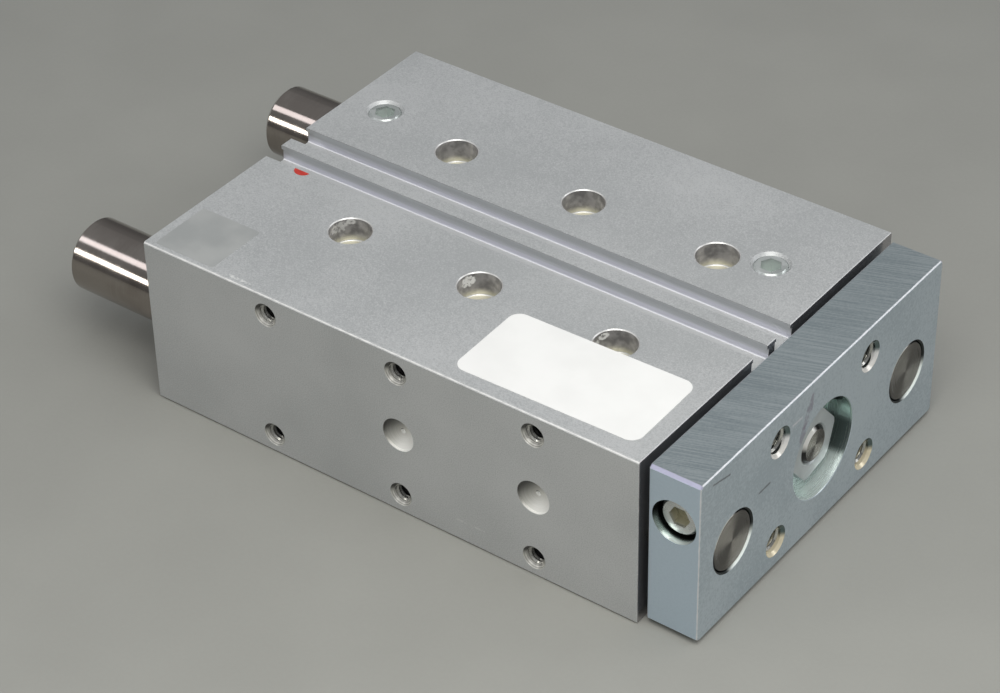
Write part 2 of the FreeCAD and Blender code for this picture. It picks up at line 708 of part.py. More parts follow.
def make_rear_cap():
    """Rear end of the cylinder with its ring and buffer."""
    groove_end = "-(sizes.cap_groove + sizes.o_ring_width)"
    dish = "-(sizes.cap_length - sizes.cap_dish_depth)"
    dish_radius = f"{BORE_RADIUS} - sizes.cap_rim"
    turned_piece("rear_cap", [
        ("0", "0"),
        ("0", BUFFER_INNER),
        ("-sizes.buffer_seat", BUFFER_INNER),
        ("-sizes.buffer_seat", BUFFER_OUTER),
        ("0", BUFFER_OUTER),
        ("0", BOSS_RADIUS),
        ("-sizes.cap_boss", BOSS_RADIUS),
        ("-sizes.cap_boss", SEAT_RADIUS),
        ("-sizes.cap_groove", SEAT_RADIUS),
        ("-sizes.cap_groove", GROOVE_RADIUS),
        (groove_end, GROOVE_RADIUS),
        (groove_end, SEAT_RADIUS),
        ("-sizes.cap_length", SEAT_RADIUS),
        ("-sizes.cap_length", dish_radius),
        (dish, dish_radius),
        (dish, "0"),
    ], CAP_FRONT, "0", BORE_HEIGHT)
    o_ring("rear_cap_o_ring", f"{CAP_FRONT} - sizes.cap_groove - sizes.o_ring_width / 2")
    make_retaining_ring("rear_retaining_ring", f"{CAP_BACK} - sizes.ring_thickness")
    make_buffer("rear_buffer", f"{CAP_FRONT} + sizes.buffer_proud")


def make_guides():
    """Bushes, wipers and stepped rods on both sides."""
    axis = GUIDE_HEIGHT
    bush_places = {
        "front": f"{FRONT_FACE} - {BUSH_START}",
        "rear": f"{FRONT_FACE} - {BUSH_REACH} + sizes.bush_length",
    }
    spigot_end = "sizes.plate_thickness - sizes.spigot_sink"
    tail = f"-(sizes.plate_gap + {HOUSING_LENGTH} + sizes.guide_tail)"
    for side, across in guide_sides():
        for end, along in bush_places.items():
            name = f"guide_bush_{end}_{side}"
            ring_piece(name, GUIDE_SLIDE, BUSH_RADIUS, "sizes.bush_length", along, across, axis)
        wiper_bore = f"{GUIDE_RADIUS} + sizes.wiper_relief"
        turned_piece(f"guide_wiper_{side}", [
            ("0", GUIDE_SLIDE),
            ("0", BUSH_RADIUS),
            ("-sizes.wiper_length", BUSH_RADIUS),
            ("-sizes.wiper_length", wiper_bore),
            ("-sizes.wiper_lip", wiper_bore),
        ], f"{FRONT_FACE} - sizes.wiper_inset", across, axis)
        turned_piece(f"guide_rod_{side}", [
            (spigot_end, "0"),
            (spigot_end, f"{SPIGOT_RADIUS} - sizes.spigot_chamfer"),
            (f"{spigot_end} - sizes.spigot_chamfer", SPIGOT_RADIUS),
            ("0", SPIGOT_RADIUS),
            ("0", GUIDE_RADIUS),
            (f"{tail} + sizes.guide_end_chamfer", GUIDE_RADIUS),
            (tail, f"{GUIDE_RADIUS} - sizes.guide_end_chamfer"),
            (tail, "0"),
        ], PLATE_BACK, across, axis)


def make_hex_nut(name, flats, hole, height, along, turn="0"):
    """Hexagon nut with chamfered corners and a countersunk hole, reaching back from its front face."""
    body = new_body(name)
    prism = new_sketch(body, "prism", "YZ_Plane", lift=f"-{height}")
    draw_hexagon(prism, "0", "0", flats, turn)
    draw_circle(prism, "0", "0", hole)
    add_pad(body, prism, height)
    corner = f"{flats} / sqrt(3)"
    bevel = f"({corner} - sizes.nut_corner_break)"
    slope = "sizes.nut_corner_break * tan(30deg)"
    bevels = new_sketch(body, "bevels", "XZ_Plane")
    draw_outline(bevels, [("0", bevel), (f"-({slope})", corner), ("0", corner)])
    back = f"-{height}"
    draw_outline(bevels, [(back, bevel), (f"{back} + {slope}", corner), (back, corner)])
    inside = f"{hole} / 2 - sizes.nut_mouth"
    mouth = f"{hole} / 2 + sizes.nut_mouth"
    draw_outline(bevels, [("0", inside), ("0", mouth), ("-2 * sizes.nut_mouth", inside)])
    draw_outline(bevels, [(back, inside), (f"{back} + 2 * sizes.nut_mouth", inside), (back, mouth)])
    add_groove(body, bevels)
    place(body, along, "0", BORE_HEIGHT)


def make_piston():
    """Piston rod, two-part piston with magnet, wear ring, seals and both nuts."""
    axis = BORE_HEIGHT
    thread_end = "sizes.plate_thickness - sizes.nut_sink + sizes.rod_thread_proud"
    tail_end = f"-({ROD_LENGTH} + {PISTON_LENGTH} - sizes.rod_tail_sink)"
    turned_piece("piston_rod", [
        (thread_end, "0"),
        (thread_end, f"{THREAD_RADIUS} - sizes.rod_thread_chamfer"),
        (f"{thread_end} - sizes.rod_thread_chamfer", THREAD_RADIUS),
        ("0", THREAD_RADIUS),
        ("0", ROD_RADIUS),
        (f"-{ROD_LENGTH}", ROD_RADIUS),
        (f"-{ROD_LENGTH}", TAIL_RADIUS),
        (tail_end, TAIL_RADIUS),
        (tail_end, "0"),
    ], PLATE_BACK, "0", axis)

    groove_end = "-(sizes.seal_inset + sizes.seal_width)"
    turned_piece("piston_front", [
        ("0", TAIL_HOLE),
        ("0", PISTON_RADIUS),
        ("-sizes.seal_inset", PISTON_RADIUS),
        ("-sizes.seal_inset", SEAL_ROOT),
        (groove_end, SEAL_ROOT),
        (groove_end, PISTON_RADIUS),
        ("-sizes.piston_front_length", PISTON_RADIUS),
        ("-sizes.piston_front_length", TAIL_HOLE),
    ], PISTON_FRONT, "0", axis)

    split = f"{PISTON_FRONT} - sizes.piston_front_length"
    ring_piece("piston_magnet", MAGNET_INNER, MAGNET_OUTER, "sizes.magnet_width", split, "0", axis)
    wear_inner = f"{MAGNET_OUTER} + sizes.seat_clearance"
    ring_piece("piston_wear_ring", wear_inner, SLIDE_RADIUS, "sizes.magnet_width", split, "0", axis)

    hub = f"{MAGNET_INNER} - sizes.seat_clearance"
    end = "-(sizes.magnet_width + sizes.piston_rear_length)"
    seal_end = f"{end} + sizes.seal_inset"
    seal_start = f"{seal_end} + sizes.seal_width"
    nut_pocket = "sizes.piston_nut_height + sizes.piston_nut_room"
    pocket_wall = "sizes.piston_nut_flats / sqrt(3) + sizes.piston_nut_room"
    turned_piece("piston_rear", [
        ("0", TAIL_HOLE),
        ("0", hub),
        ("-sizes.magnet_width", hub),
        ("-sizes.magnet_width", PISTON_RADIUS),
        (seal_start, PISTON_RADIUS),
        (seal_start, SEAL_ROOT),
        (seal_end, SEAL_ROOT),
        (seal_end, PISTON_RADIUS),
        (end, PISTON_RADIUS),
        (end, pocket_wall),
        (f"{end} + {nut_pocket}", pocket_wall),
        (f"{end} + {nut_pocket}", TAIL_HOLE),
    ], split, "0", axis)
    nut_face = f"{PISTON_FRONT} - {PISTON_LENGTH} + {nut_pocket}"
    nut_hole = f"2 * {TAIL_HOLE}"
    make_hex_nut("piston_nut", "sizes.piston_nut_flats", nut_hole, "sizes.piston_nut_height", nut_face)

    rim = f"{SEAL_ROOT} + sizes.seat_clearance"
    width = "(sizes.seal_width - 2 * sizes.seat_clearance)"
    for name, sign, along in (
        ("piston_seal_front", "-", f"{PISTON_FRONT} - sizes.seal_inset - sizes.seat_clearance"),
        ("piston_seal_rear", "", f"{split} + {seal_end} + sizes.seat_clearance"),
    ):
        turned_piece(name, [
            ("0", rim),
            (f"{sign}{width}", rim),
            (f"{sign}{width}", SLIDE_RADIUS),
            ("0", SLIDE_RADIUS),
            ("0", f"{SLIDE_RADIUS} - sizes.seal_lip"),
            (f"{sign}sizes.seal_notch", f"({rim} + {SLIDE_RADIUS}) / 2"),
            ("0", f"{rim} + sizes.seal_lip"),
        ], along, "0", axis)

    nut_front = f"{PLATE_FRONT} - sizes.nut_sink"
    rod_hole = f"2 * {THREAD_HOLE}"
    turn = "sizes.rod_nut_turn"
    make_hex_nut("piston_rod_nut", "sizes.rod_nut_flats", rod_hole, "sizes.rod_nut_height", nut_front, turn)


def make_yoke_plate():
    """Front plate: rod seats, nut recess, tool threads and the clamp bores in its short sides."""
    body = new_body("yoke_plate")
    block = new_sketch(body, "block", "YZ_Plane", lift=PLATE_BACK)
    draw_box(block, f"-{PLATE_HALF_WIDTH}", PLATE_HALF_WIDTH, "sizes.plate_base", PLATE_TOP)
    add_pad(body, block, "sizes.plate_thickness")
    add_edge_cut(body, "Chamfer", long_edges(body.Shape), "sizes.plate_chamfer")
    ends = end_edges(body.Shape, value("sizes.plate_chamfer"))
    add_edge_cut(body, "Chamfer", ends, "sizes.plate_edge_break")

    bores = new_sketch(body, "bores", "YZ_Plane", lift=PLATE_FRONT)
    for _, across in guide_sides():
        draw_circle(bores, across, GUIDE_HEIGHT, f"2 * {SPIGOT_SEAT}")
    draw_circle(bores, "0", BORE_HEIGHT, f"2 * {THREAD_HOLE}")
    add_pocket(body, bores)
    recess = new_sketch(body, "recess", "YZ_Plane", lift=PLATE_FRONT)
    draw_circle(recess, "0", BORE_HEIGHT, f"2 * {RECESS_RADIUS}")
    add_pocket(body, recess, "sizes.nut_sink + sizes.rod_nut_height")
    front = value(PLATE_FRONT)
    rims = round_edges(body.Shape, value(SPIGOT_SEAT), 0, front)
    add_edge_cut(body, "Chamfer", rims, "sizes.spigot_seat_chamfer")
    rims = round_edges(body.Shape, value(RECESS_RADIUS), 0, front)
    add_edge_cut(body, "Chamfer", rims, "sizes.recess_chamfer")

    tools = new_sketch(body, "tools", "YZ_Plane", lift=PLATE_FRONT)
    for side in ("-", ""):
        for level in ("-", "+"):
            up = f"{BORE_HEIGHT} {level} sizes.tool_pitch_up / 2"
            draw_circle(tools, f"{side}sizes.tool_pitch_across / 2", up, "sizes.tool_tap_drill")
    add_hole(body, tools, "sizes.tool_tap_drill", mouth="sizes.tool_tap_mouth")

    clamp_depth = f"{PLATE_HALF_WIDTH} - {GUIDE_OFFSET} + {CLAMP_INNER_END} + sizes.clamp_end_room"
    for name, lift, reverse in (("right", PLATE_HALF_WIDTH, False), ("left", f"-{PLATE_HALF_WIDTH}", True)):
        clamp = new_sketch(body, f"clamp_{name}", "XZ_Plane", lift=lift)
        draw_circle(clamp, PLATE_MIDDLE, f"{GUIDE_HEIGHT} + {CLAMP_RISE}", f"2 * {CLAMP_BORE_RADIUS}")
        add_pocket(body, clamp, clamp_depth, reverse)


def clamp_cylinder(body, name, lift, length, diameter):
    """Round piece on the clamp screw's axis, from a lift outwards over a length."""
    sketch = new_sketch(body, name, "XZ_Plane", lift=lift)
    draw_circle(sketch, "0", CLAMP_RISE, diameter)
    return add_pad(body, sketch, length)


def make_clamp_piece(name, inner, outer, hole, across, turn):
    """Round clamp piece with a hole for the screw and a hollow that fits the rod's spigot."""
    body = new_body(name)
    length = f"{outer} - {inner}"
    clamp_cylinder(body, "barrel", inner, length, f"2 * ({CLAMP_BORE_RADIUS} - sizes.seat_clearance)")
    drill = new_sketch(body, "drill", "XZ_Plane", lift=outer)
    draw_circle(drill, "0", CLAMP_RISE, hole)
    add_pocket(body, drill, length)
    hollow = new_sketch(body, "hollow", "YZ_Plane")
    draw_circle(hollow, "0", "0", f"2 * {SPIGOT_SEAT}")
    add_pocket(body, hollow)
    place(body, PLATE_MIDDLE, across, GUIDE_HEIGHT, turn)


def make_clamps():
    """Clamp screw, sleeve and nut of each guide rod; the left set is the right one turned about."""
    for (side, across), turn in zip(guide_sides(), (180, 0)):
        screw_room = "sizes.clamp_screw + 2 * sizes.clamp_screw_room"
        make_clamp_piece(f"clamp_sleeve_{side}", CLAMP_HALF_SPLIT, CLAMP_HEAD_SEAT, screw_room, across, turn)
        nut_hole = "sizes.clamp_screw + 2 * sizes.seat_clearance"
        make_clamp_piece(
            f"clamp_nut_{side}", f"-{CLAMP_INNER_END}", f"-{CLAMP_HALF_SPLIT}", nut_hole, across, turn,
        )
        body = new_body(f"clamp_screw_{side}")
        shank = f"{CLAMP_HEAD_SEAT} + {CLAMP_INNER_END}"
        clamp_cylinder(body, "shank", f"-{CLAMP_INNER_END}", shank, "sizes.clamp_screw")
        clamp_cylinder(body, "head", CLAMP_HEAD_SEAT, "sizes.clamp_head_height", "sizes.clamp_head")
        head_face = f"{CLAMP_HEAD_SEAT} + sizes.clamp_head_height"
        rims = round_edges(body.Shape, value("sizes.clamp_head / 2"), 1, -value(head_face))
        add_edge_cut(body, "Chamfer", rims, "sizes.clamp_head_chamfer")
        socket = new_sketch(body, "socket", "XZ_Plane", lift=head_face)
        draw_hexagon(socket, "0", CLAMP_RISE, "sizes.clamp_socket")
        add_pocket(body, socket, "sizes.clamp_socket_depth")
        place(body, PLATE_MIDDLE, across, GUIDE_HEIGHT, turn)


def check_and_write():
    """Stop on any failed object or broken solid, then write one file per sub-part."""
    doc.recompute()
    for item in doc.Objects:
        if "Invalid" in item.State or "Error" in item.State:
            raise RuntimeError(f"{item.Name} failed: {item.State}")
    os.makedirs("parts", exist_ok=True)
    for node in nodes:
        shape = node.Shape
        if shape.isNull() or not shape.isValid() or shape.Volume <= 0 or len(shape.Solids) != 1:
            raise RuntimeError(f"{node.Label} is not one sound solid")
    for node in nodes:
        node.Shape.exportStep(f"parts/{node.Label}.step")


make_housing()
make_plugs()
make_gland()
make_rear_cap()
make_guides()
make_piston()
make_yoke_plate()
make_clamps()
check_and_write()
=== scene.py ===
import logging
import math
from dataclasses import dataclass
from enum import Enum
from functools import reduce
from typing import Union

import bmesh
import bpy
import numpy as np
from mathutils import Matrix, Vector


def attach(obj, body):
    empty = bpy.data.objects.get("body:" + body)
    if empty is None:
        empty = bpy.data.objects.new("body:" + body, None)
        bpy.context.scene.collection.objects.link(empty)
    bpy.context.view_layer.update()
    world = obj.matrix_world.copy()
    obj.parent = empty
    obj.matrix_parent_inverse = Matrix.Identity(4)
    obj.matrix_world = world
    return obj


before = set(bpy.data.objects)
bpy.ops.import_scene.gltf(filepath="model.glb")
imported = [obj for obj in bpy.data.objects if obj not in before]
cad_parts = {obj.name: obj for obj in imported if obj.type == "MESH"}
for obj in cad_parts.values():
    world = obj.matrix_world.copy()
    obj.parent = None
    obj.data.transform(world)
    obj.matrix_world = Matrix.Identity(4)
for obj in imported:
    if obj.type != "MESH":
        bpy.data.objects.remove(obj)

LOG = logging.getLogger("guided_cylinder")
MM = 0.001
WELD = 1e-7

Colour = tuple[float, float, float]
Point = tuple[float, float, float]
Span = tuple[float, float]
Socket = bpy.types.NodeSocket
Feed = Union[Socket, float, tuple]
Layer = tuple[Feed, Feed]

# The stretch of a noise that holds most of its values
NOISE_SPREAD: Span = (0.3, 0.7)

# Sizes and places of the part in millimetres
HOUSING_END = 74.25
HOUSING_SIDE = 55.0
HOUSING_TOP = 48.5
ROW_MIDDLE = 4.75
ROW_PITCH = 40.0
SCREW_OFFSET = 21.75
SIDE_TAP_MIDDLE = 24.0
SIDE_TAP_RISE = 18.5
SLOT_OFFSET = 5.0
PORT_PLACES = (57.25, -62.45)
PORT_LEVEL = 38.5
PLUG_OFFSET = 26.35
PLUG_TOP = 48.1
PLATE_FRONT = 89.75
PLATE_MIDDLE = 82.75
PLATE_SIDE = 53.25
PLATE_BASE = 1.0
PLATE_TOP = 47.5
PLATE_TAP_OFFSET = 20.0
PLATE_TAP_RISE = 15.0
BORE_LEVEL = 23.5
ROD_OFFSET = 39.0
ROD_LEVEL = 22.0
CLAMP_LEVEL = 34.0
CLAMP_HEAD = 51.0

# Where the fan of light on the rods' ends and seats is brightest, as an angle about their axes
FAN_TURN = math.radians(127.0)

# Places of the colour sockets among all the sockets of a Mix node
MIX_FIRST, MIX_SECOND, MIX_RESULT = 6, 7, 2


class Body(Enum):
    """The two bodies that a piece can ride on."""

    HOUSING = "housing_body"
    CARRIAGE = "carriage"


class Effect(Enum):
    """The surface effects that several finishes share."""

    GRAIN = "fine_grain"
    LINES = "drawn_lines"
    EDGE = "edge_wear"
    PATCH = "broken_patch"
    SCRATCH = "scratch_line"
    RINGS = "turned_rings"


def mm(*values: float) -> Point:
    """Returns millimetres as a tuple in metres."""
    return tuple(value * MM for value in values)


class Graph:
    """Adds nodes to one shader tree and joins them."""

    def __init__(self, tree: bpy.types.NodeTree) -> None:
        """Keeps the tree that the nodes go into."""
        self.tree = tree

    def node(self, kind: str, **settings: object) -> bpy.types.Node:
        """Adds a node.

        Args:
            kind: Blender's name of the node type.
            settings: Properties to set on the node.

        Returns:
            The new node.
        """
        made = self.tree.nodes.new(kind)
        for name, value in settings.items():
            setattr(made, name, value)
        return made

    def feed(self, socket: Socket, value: Feed) -> None:
        """Joins a socket to another one, or sets its value.

        Args:
            socket: The input to feed.
            value: An output socket, a number or a tuple of numbers.
        """
        if isinstance(value, Socket):
            self.tree.links.new(value, socket)
            return
        if socket.type == "RGBA" and len(value) == 3:
            value = (*value, 1.0)
        socket.default_value = value

    def math(self, operation: str, *values: Feed) -> Socket:
        """Adds a Math node.

        Args:
            operation: The node's operation.
            values: Its inputs in order.

        Returns:
            The node's output.
        """
        made = self.node("ShaderNodeMath", operation=operation)
        for socket, value in zip(made.inputs, values):
            self.feed(socket, value)
        return made.outputs[0]

    def vector(self, operation: str, *values: Feed) -> Socket:
        """Adds a Vector Math node.

        Args:
            operation: The node's operation.
            values: Its vector inputs in order.

        Returns:
            The vector output, or the value output of a length or a dot product.
        """
        made = self.node("ShaderNodeVectorMath", operation=operation)
        for socket, value in zip(made.inputs, values):
            self.feed(socket, value)
        return made.outputs["Value" if operation in ("LENGTH", "DOT_PRODUCT") else "Vector"]

    def scaled(self, vector: Feed, factor: Feed) -> Socket:
        """Scales a vector.

        Args:
            vector: The vector.
            factor: What each of its parts is multiplied by.

        Returns:
            The scaled vector.
        """
        made = self.node("ShaderNodeVectorMath", operation="SCALE")
        self.feed(made.inputs["Vector"], vector)
        self.feed(made.inputs["Scale"], factor)
        return made.outputs["Vector"]

    def product(self, *values: Feed) -> Socket:
        """Returns the product of the values, which for masks is where they overlap."""
        return reduce(lambda first, second: self.math("MULTIPLY", first, second), values)

    def greatest(self, *values: Feed) -> Socket:
        """Returns the greatest of the values, which for masks is all that they cover."""
        return reduce(lambda first, second: self.math("MAXIMUM", first, second), values)

    def times_plus(self, value: Feed, factor: Feed, extra: Feed) -> Socket:
        """Returns a value times a factor, plus another value."""
        return self.math("MULTIPLY_ADD", value, factor, extra)

    def minus(self, first: Feed, second: Feed) -> Socket:
        """Returns the first value less the second."""
        return self.math("SUBTRACT", first, second)

    def size(self, value: Feed) -> Socket:
        """Returns a value without its sign."""
        return self.math("ABSOLUTE", value)

    def below(self, value: Feed, limit: Feed) -> Socket:
        """Marks values under a limit."""
        return self.math("LESS_THAN", value, limit)

    def above(self, value: Feed, limit: Feed) -> Socket:
        """Marks values over a limit."""
        return self.math("GREATER_THAN", value, limit)

    def within(self, value: Feed, span: Span) -> Socket:
        """Marks values in a span."""
        low, high = span
        return self.math("COMPARE", value, (low + high) / 2, (high - low) / 2)

    def length(self, vector: Feed) -> Socket:
        """Returns a vector's length."""
        return self.vector("LENGTH", vector)

    def distance(self, first: Feed, second: Feed) -> Socket:
        """Returns the length of the vector with these two parts."""
        return self.length(self.joined(first, second, 0.0))

    def ramp(self, value: Feed, low: Feed, high: Feed, start: Feed = 0.0, end: Feed = 1.0) -> Socket:
        """Maps a value smoothly from one range to another.

        Args:
            value: The value to map.
            low: Where the ramp begins.
            high: Where the ramp ends.
            start: The result at the beginning.
            end: The result at the end.

        Returns:
            The mapped value.
        """
        made = self.node("ShaderNodeMapRange", interpolation_type="SMOOTHSTEP")
        for socket, given in zip(made.inputs, (value, low, high, start, end)):
            self.feed(socket, given)
        return made.outputs[0]

    def blend(self, share: Feed, first: Feed, second: Feed) -> Socket:
        """Mixes two colours.

        Args:
            share: How much of the second colour shows, from 0 to 1.
            first: The colour at 0.
            second: The colour at 1.

        Returns:
            The mixed colour.
        """
        made = self.node("ShaderNodeMix", data_type="RGBA")
        self.feed(made.inputs[0], share)
        self.feed(made.inputs[MIX_FIRST], first)
        self.feed(made.inputs[MIX_SECOND], second)
        return made.outputs[MIX_RESULT]

    def layered(self, colour: Feed, layers: tuple[Layer, ...]) -> Socket:
        """Lays tones over a colour.

        Args:
            colour: The colour underneath.
            layers: Masks with their tones, in painting order.

        Returns:
            The painted colour.
        """
        return reduce(lambda under, layer: self.blend(layer[0], under, layer[1]), layers, colour)

    def noise(self, place: Feed, scale: Feed, detail: float = 2.0) -> Socket:
        """Adds a noise pattern.

        Args:
            place: The coordinates that it reads.
            scale: Cells in one unit of the coordinates.
            detail: Octaves of finer noise.

        Returns:
            A value from 0 to 1.
        """
        made = self.node("ShaderNodeTexNoise")
        self.feed(made.inputs["Vector"], place)
        self.feed(made.inputs["Scale"], scale)
        self.feed(made.inputs["Detail"], detail)
        return made.outputs[0]

    def place(self) -> Socket:
        """Returns the object's own coordinates."""
        return self.node("ShaderNodeTexCoord").outputs["Object"]

    def place_mm(self) -> Socket:
        """Returns the object's own coordinates in millimetres."""
        return self.scaled(self.place(), 1 / MM)

    def axes(self, vector: Feed) -> tuple[Socket, ...]:
        """Takes a vector apart.

        Args:
            vector: The vector.

        Returns:
            Its three parts.
        """
        made = self.node("ShaderNodeSeparateXYZ")
        self.feed(made.inputs[0], vector)
        return tuple(made.outputs)

    def joined(self, x: Feed, y: Feed, z: Feed) -> Socket:
        """Joins three numbers.

        Args:
            x: The first part.
            y: The second part.
            z: The third part.

        Returns:
            The vector.
        """
        made = self.node("ShaderNodeCombineXYZ")
        for socket, value in zip(made.inputs, (x, y, z)):
            self.feed(socket, value)
        return made.outputs[0]

    def effect(self, effect: Effect, **values: Feed) -> bpy.types.Node:
        """Places a shared effect.

        Args:
            effect: Which one.
            values: Its inputs, with spaces written as underscores.

        Returns:
            The group node.
        """
        made = self.node("ShaderNodeGroup", node_tree=Effects.group(effect))
        for name, value in values.items():
            self.feed(made.inputs[name.replace("_", " ").capitalize()], value)
        return made

    def bump(self, height: Feed, strength: float, depth: float) -> Socket:
        """Turns a height into a normal.

        Args:
            height: The height, from 0 to 1.
            strength: How much of it shows.
            depth: The full height in metres.

        Returns:
            The normal.
        """
        made = self.node("ShaderNodeBump")
        made.inputs["Strength"].default_value = strength
        made.inputs["Distance"].default_value = depth
        self.feed(made.inputs["Height"], height)
        return made.outputs["Normal"]


class Effects:
    """Builds each shared effect once, as a node group."""

    made: dict[Effect, bpy.types.NodeTree] = {}
    worn_share: float = 0.6
    patch_fade: Span = (0.35, 1.0)
    patch_break: Span = (0.42, 0.62)
    patch_rim: Span = (0.0, 0.2)
    scratch_scale: float = 900.0
    least_width: float = 1e-6

    @classmethod
    def group(cls, effect: Effect) -> bpy.types.NodeTree:
        """Finds the node group of an effect, which the method with its name makes at its first use.

        Args:
            effect: Which effect it is.

        Returns:
            The node group.
        """
        if effect not in cls.made:
            cls.made[effect] = getattr(cls, effect.name.lower())()
        return cls.made[effect]

    @staticmethod
    def start(
        effect: Effect, numbers: tuple[str, ...], vectors: tuple[str, ...], results: tuple[str, ...]
    ) -> tuple[Graph, bpy.types.Node, bpy.types.Node]:
        """Makes an empty group with its named sockets.

        Args:
            effect: Which effect it is.
            numbers: Names of the inputs that are numbers.
            vectors: Names of the inputs that are vectors.
            results: Names of the outputs.

        Returns:
            The graph, its input node and its output node.
        """
        tree = bpy.data.node_groups.new(effect.value, "ShaderNodeTree")
        for name in numbers:
            tree.interface.new_socket(name=name, in_out="INPUT", socket_type="NodeSocketFloat")
        for name in vectors:
            tree.interface.new_socket(name=name, in_out="INPUT", socket_type="NodeSocketVector")
        for name in results:
            kind = "NodeSocketVector" if name == "Normal" else "NodeSocketFloat"
            tree.interface.new_socket(name=name, in_out="OUTPUT", socket_type=kind)
        graph = Graph(tree)
        return graph, graph.node("NodeGroupInput"), graph.node("NodeGroupOutput")

    @classmethod
    def grain(cls) -> bpy.types.NodeTree:
        """Two sizes of even noise: a coarse cloud and a fine grain.

        Returns:
            The node group.
        """
        graph, given, result = cls.start(
            Effect.GRAIN, ("Cloud scale", "Grain scale"), (), ("Cloud", "Grain")
        )
        place = graph.place()
        graph.feed(result.inputs["Cloud"], graph.noise(place, given.outputs["Cloud scale"], 4.0))
        graph.feed(result.inputs["Grain"], graph.noise(place, given.outputs["Grain scale"], 2.0))
        return graph.tree

    @classmethod
    def lines(cls) -> bpy.types.NodeTree:
        """Noise drawn out into lines: the coordinates are turned and then stretched along one direction.

        Returns:
            The node group.
        """
        graph, given, result = cls.start(Effect.LINES, (), ("Stretch", "Turn"), ("Lines",))
        turned = graph.node("ShaderNodeMapping", vector_type="POINT")
        graph.feed(turned.inputs["Vector"], graph.place())
        graph.feed(turned.inputs["Rotation"], given.outputs["Turn"])
        drawn = graph.vector("MULTIPLY", turned.outputs[0], given.outputs["Stretch"])
        graph.feed(result.inputs["Lines"], graph.noise(drawn, 1.0, 3.0))
        return graph.tree

    @classmethod
    def edge(cls) -> bpy.types.NodeTree:
        """Worn edges of a block: beside an edge, the middle one of the distances to its faces is small.

        Returns:
            The node group.
        """
        graph, given, result = cls.start(
            Effect.EDGE, ("Width", "Nick scale", "Nick depth"), ("Centre", "Half size"), ("Mask",)
        )
        place = graph.place()
        off_centre = graph.vector("SUBTRACT", place, given.outputs["Centre"])
        inside = graph.vector("SUBTRACT", given.outputs["Half size"], graph.vector("ABSOLUTE", off_centre))
        along, across, upright = graph.axes(graph.vector("ABSOLUTE", inside))
        lesser = graph.math("MINIMUM", along, across)
        greater = graph.math("MAXIMUM", along, across)
        middle = graph.math("MAXIMUM", lesser, graph.math("MINIMUM", greater, upright))
        nicks = graph.noise(place, given.outputs["Nick scale"], 3.0)
        wander = graph.product(graph.minus(nicks, 0.5), given.outputs["Nick depth"])
        distance = graph.math("ADD", middle, wander)
        rim = graph.product(given.outputs["Width"], cls.worn_share)
        graph.feed(result.inputs["Mask"], graph.ramp(distance, rim, given.outputs["Width"], 1.0, 0.0))
        return graph.tree

    @classmethod
    def patch(cls) -> bpy.types.NodeTree:
        """A stain or a scuff: an ellipsoid that fades to its rim and is broken up by noise.

        Returns:
            The node group.
        """
        graph, given, result = cls.start(
            Effect.PATCH, ("Break scale", "Cover"), ("Centre", "Turn", "Half size"), ("Mask",)
        )
        place = graph.place()
        turned = graph.node("ShaderNodeMapping", vector_type="TEXTURE")
        graph.feed(turned.inputs["Vector"], place)
        graph.feed(turned.inputs["Location"], given.outputs["Centre"])
        graph.feed(turned.inputs["Rotation"], given.outputs["Turn"])
        graph.feed(turned.inputs["Scale"], given.outputs["Half size"])
        reach = graph.ramp(graph.length(turned.outputs[0]), *cls.patch_fade, 1.0, 0.0)
        broken = graph.noise(place, given.outputs["Break scale"], 5.0)
        shown = graph.math("ADD", graph.product(reach, broken), given.outputs["Cover"])
        faded = graph.ramp(shown, *cls.patch_break)
        graph.feed(result.inputs["Mask"], graph.product(faded, graph.ramp(reach, *cls.patch_rim)))
        return graph.tree

    @classmethod
    def scratch(cls) -> bpy.types.NodeTree:
        """A straight scratch: the distance to the nearest point of a line from Start to End.

        Returns:
            The node group.
        """
        graph, given, result = cls.start(Effect.SCRATCH, ("Width",), ("Start", "End"), ("Mask",))
        place = graph.place()
        run = graph.vector("SUBTRACT", given.outputs["End"], given.outputs["Start"])
        seen = graph.vector("SUBTRACT", place, given.outputs["Start"])
        share = graph.math(
            "DIVIDE", graph.vector("DOT_PRODUCT", seen, run), graph.vector("DOT_PRODUCT", run, run)
        )
        limited = graph.math("MINIMUM", graph.math("MAXIMUM", share, 0.0), 1.0)
        gap = graph.length(graph.vector("SUBTRACT", seen, graph.scaled(run, limited)))
        ragged = graph.product(graph.noise(place, cls.scratch_scale, 3.0), given.outputs["Width"])
        width = graph.math("ADD", ragged, cls.least_width)
        graph.feed(result.inputs["Mask"], graph.ramp(gap, 0.0, width, 1.0, 0.0))
        return graph.tree

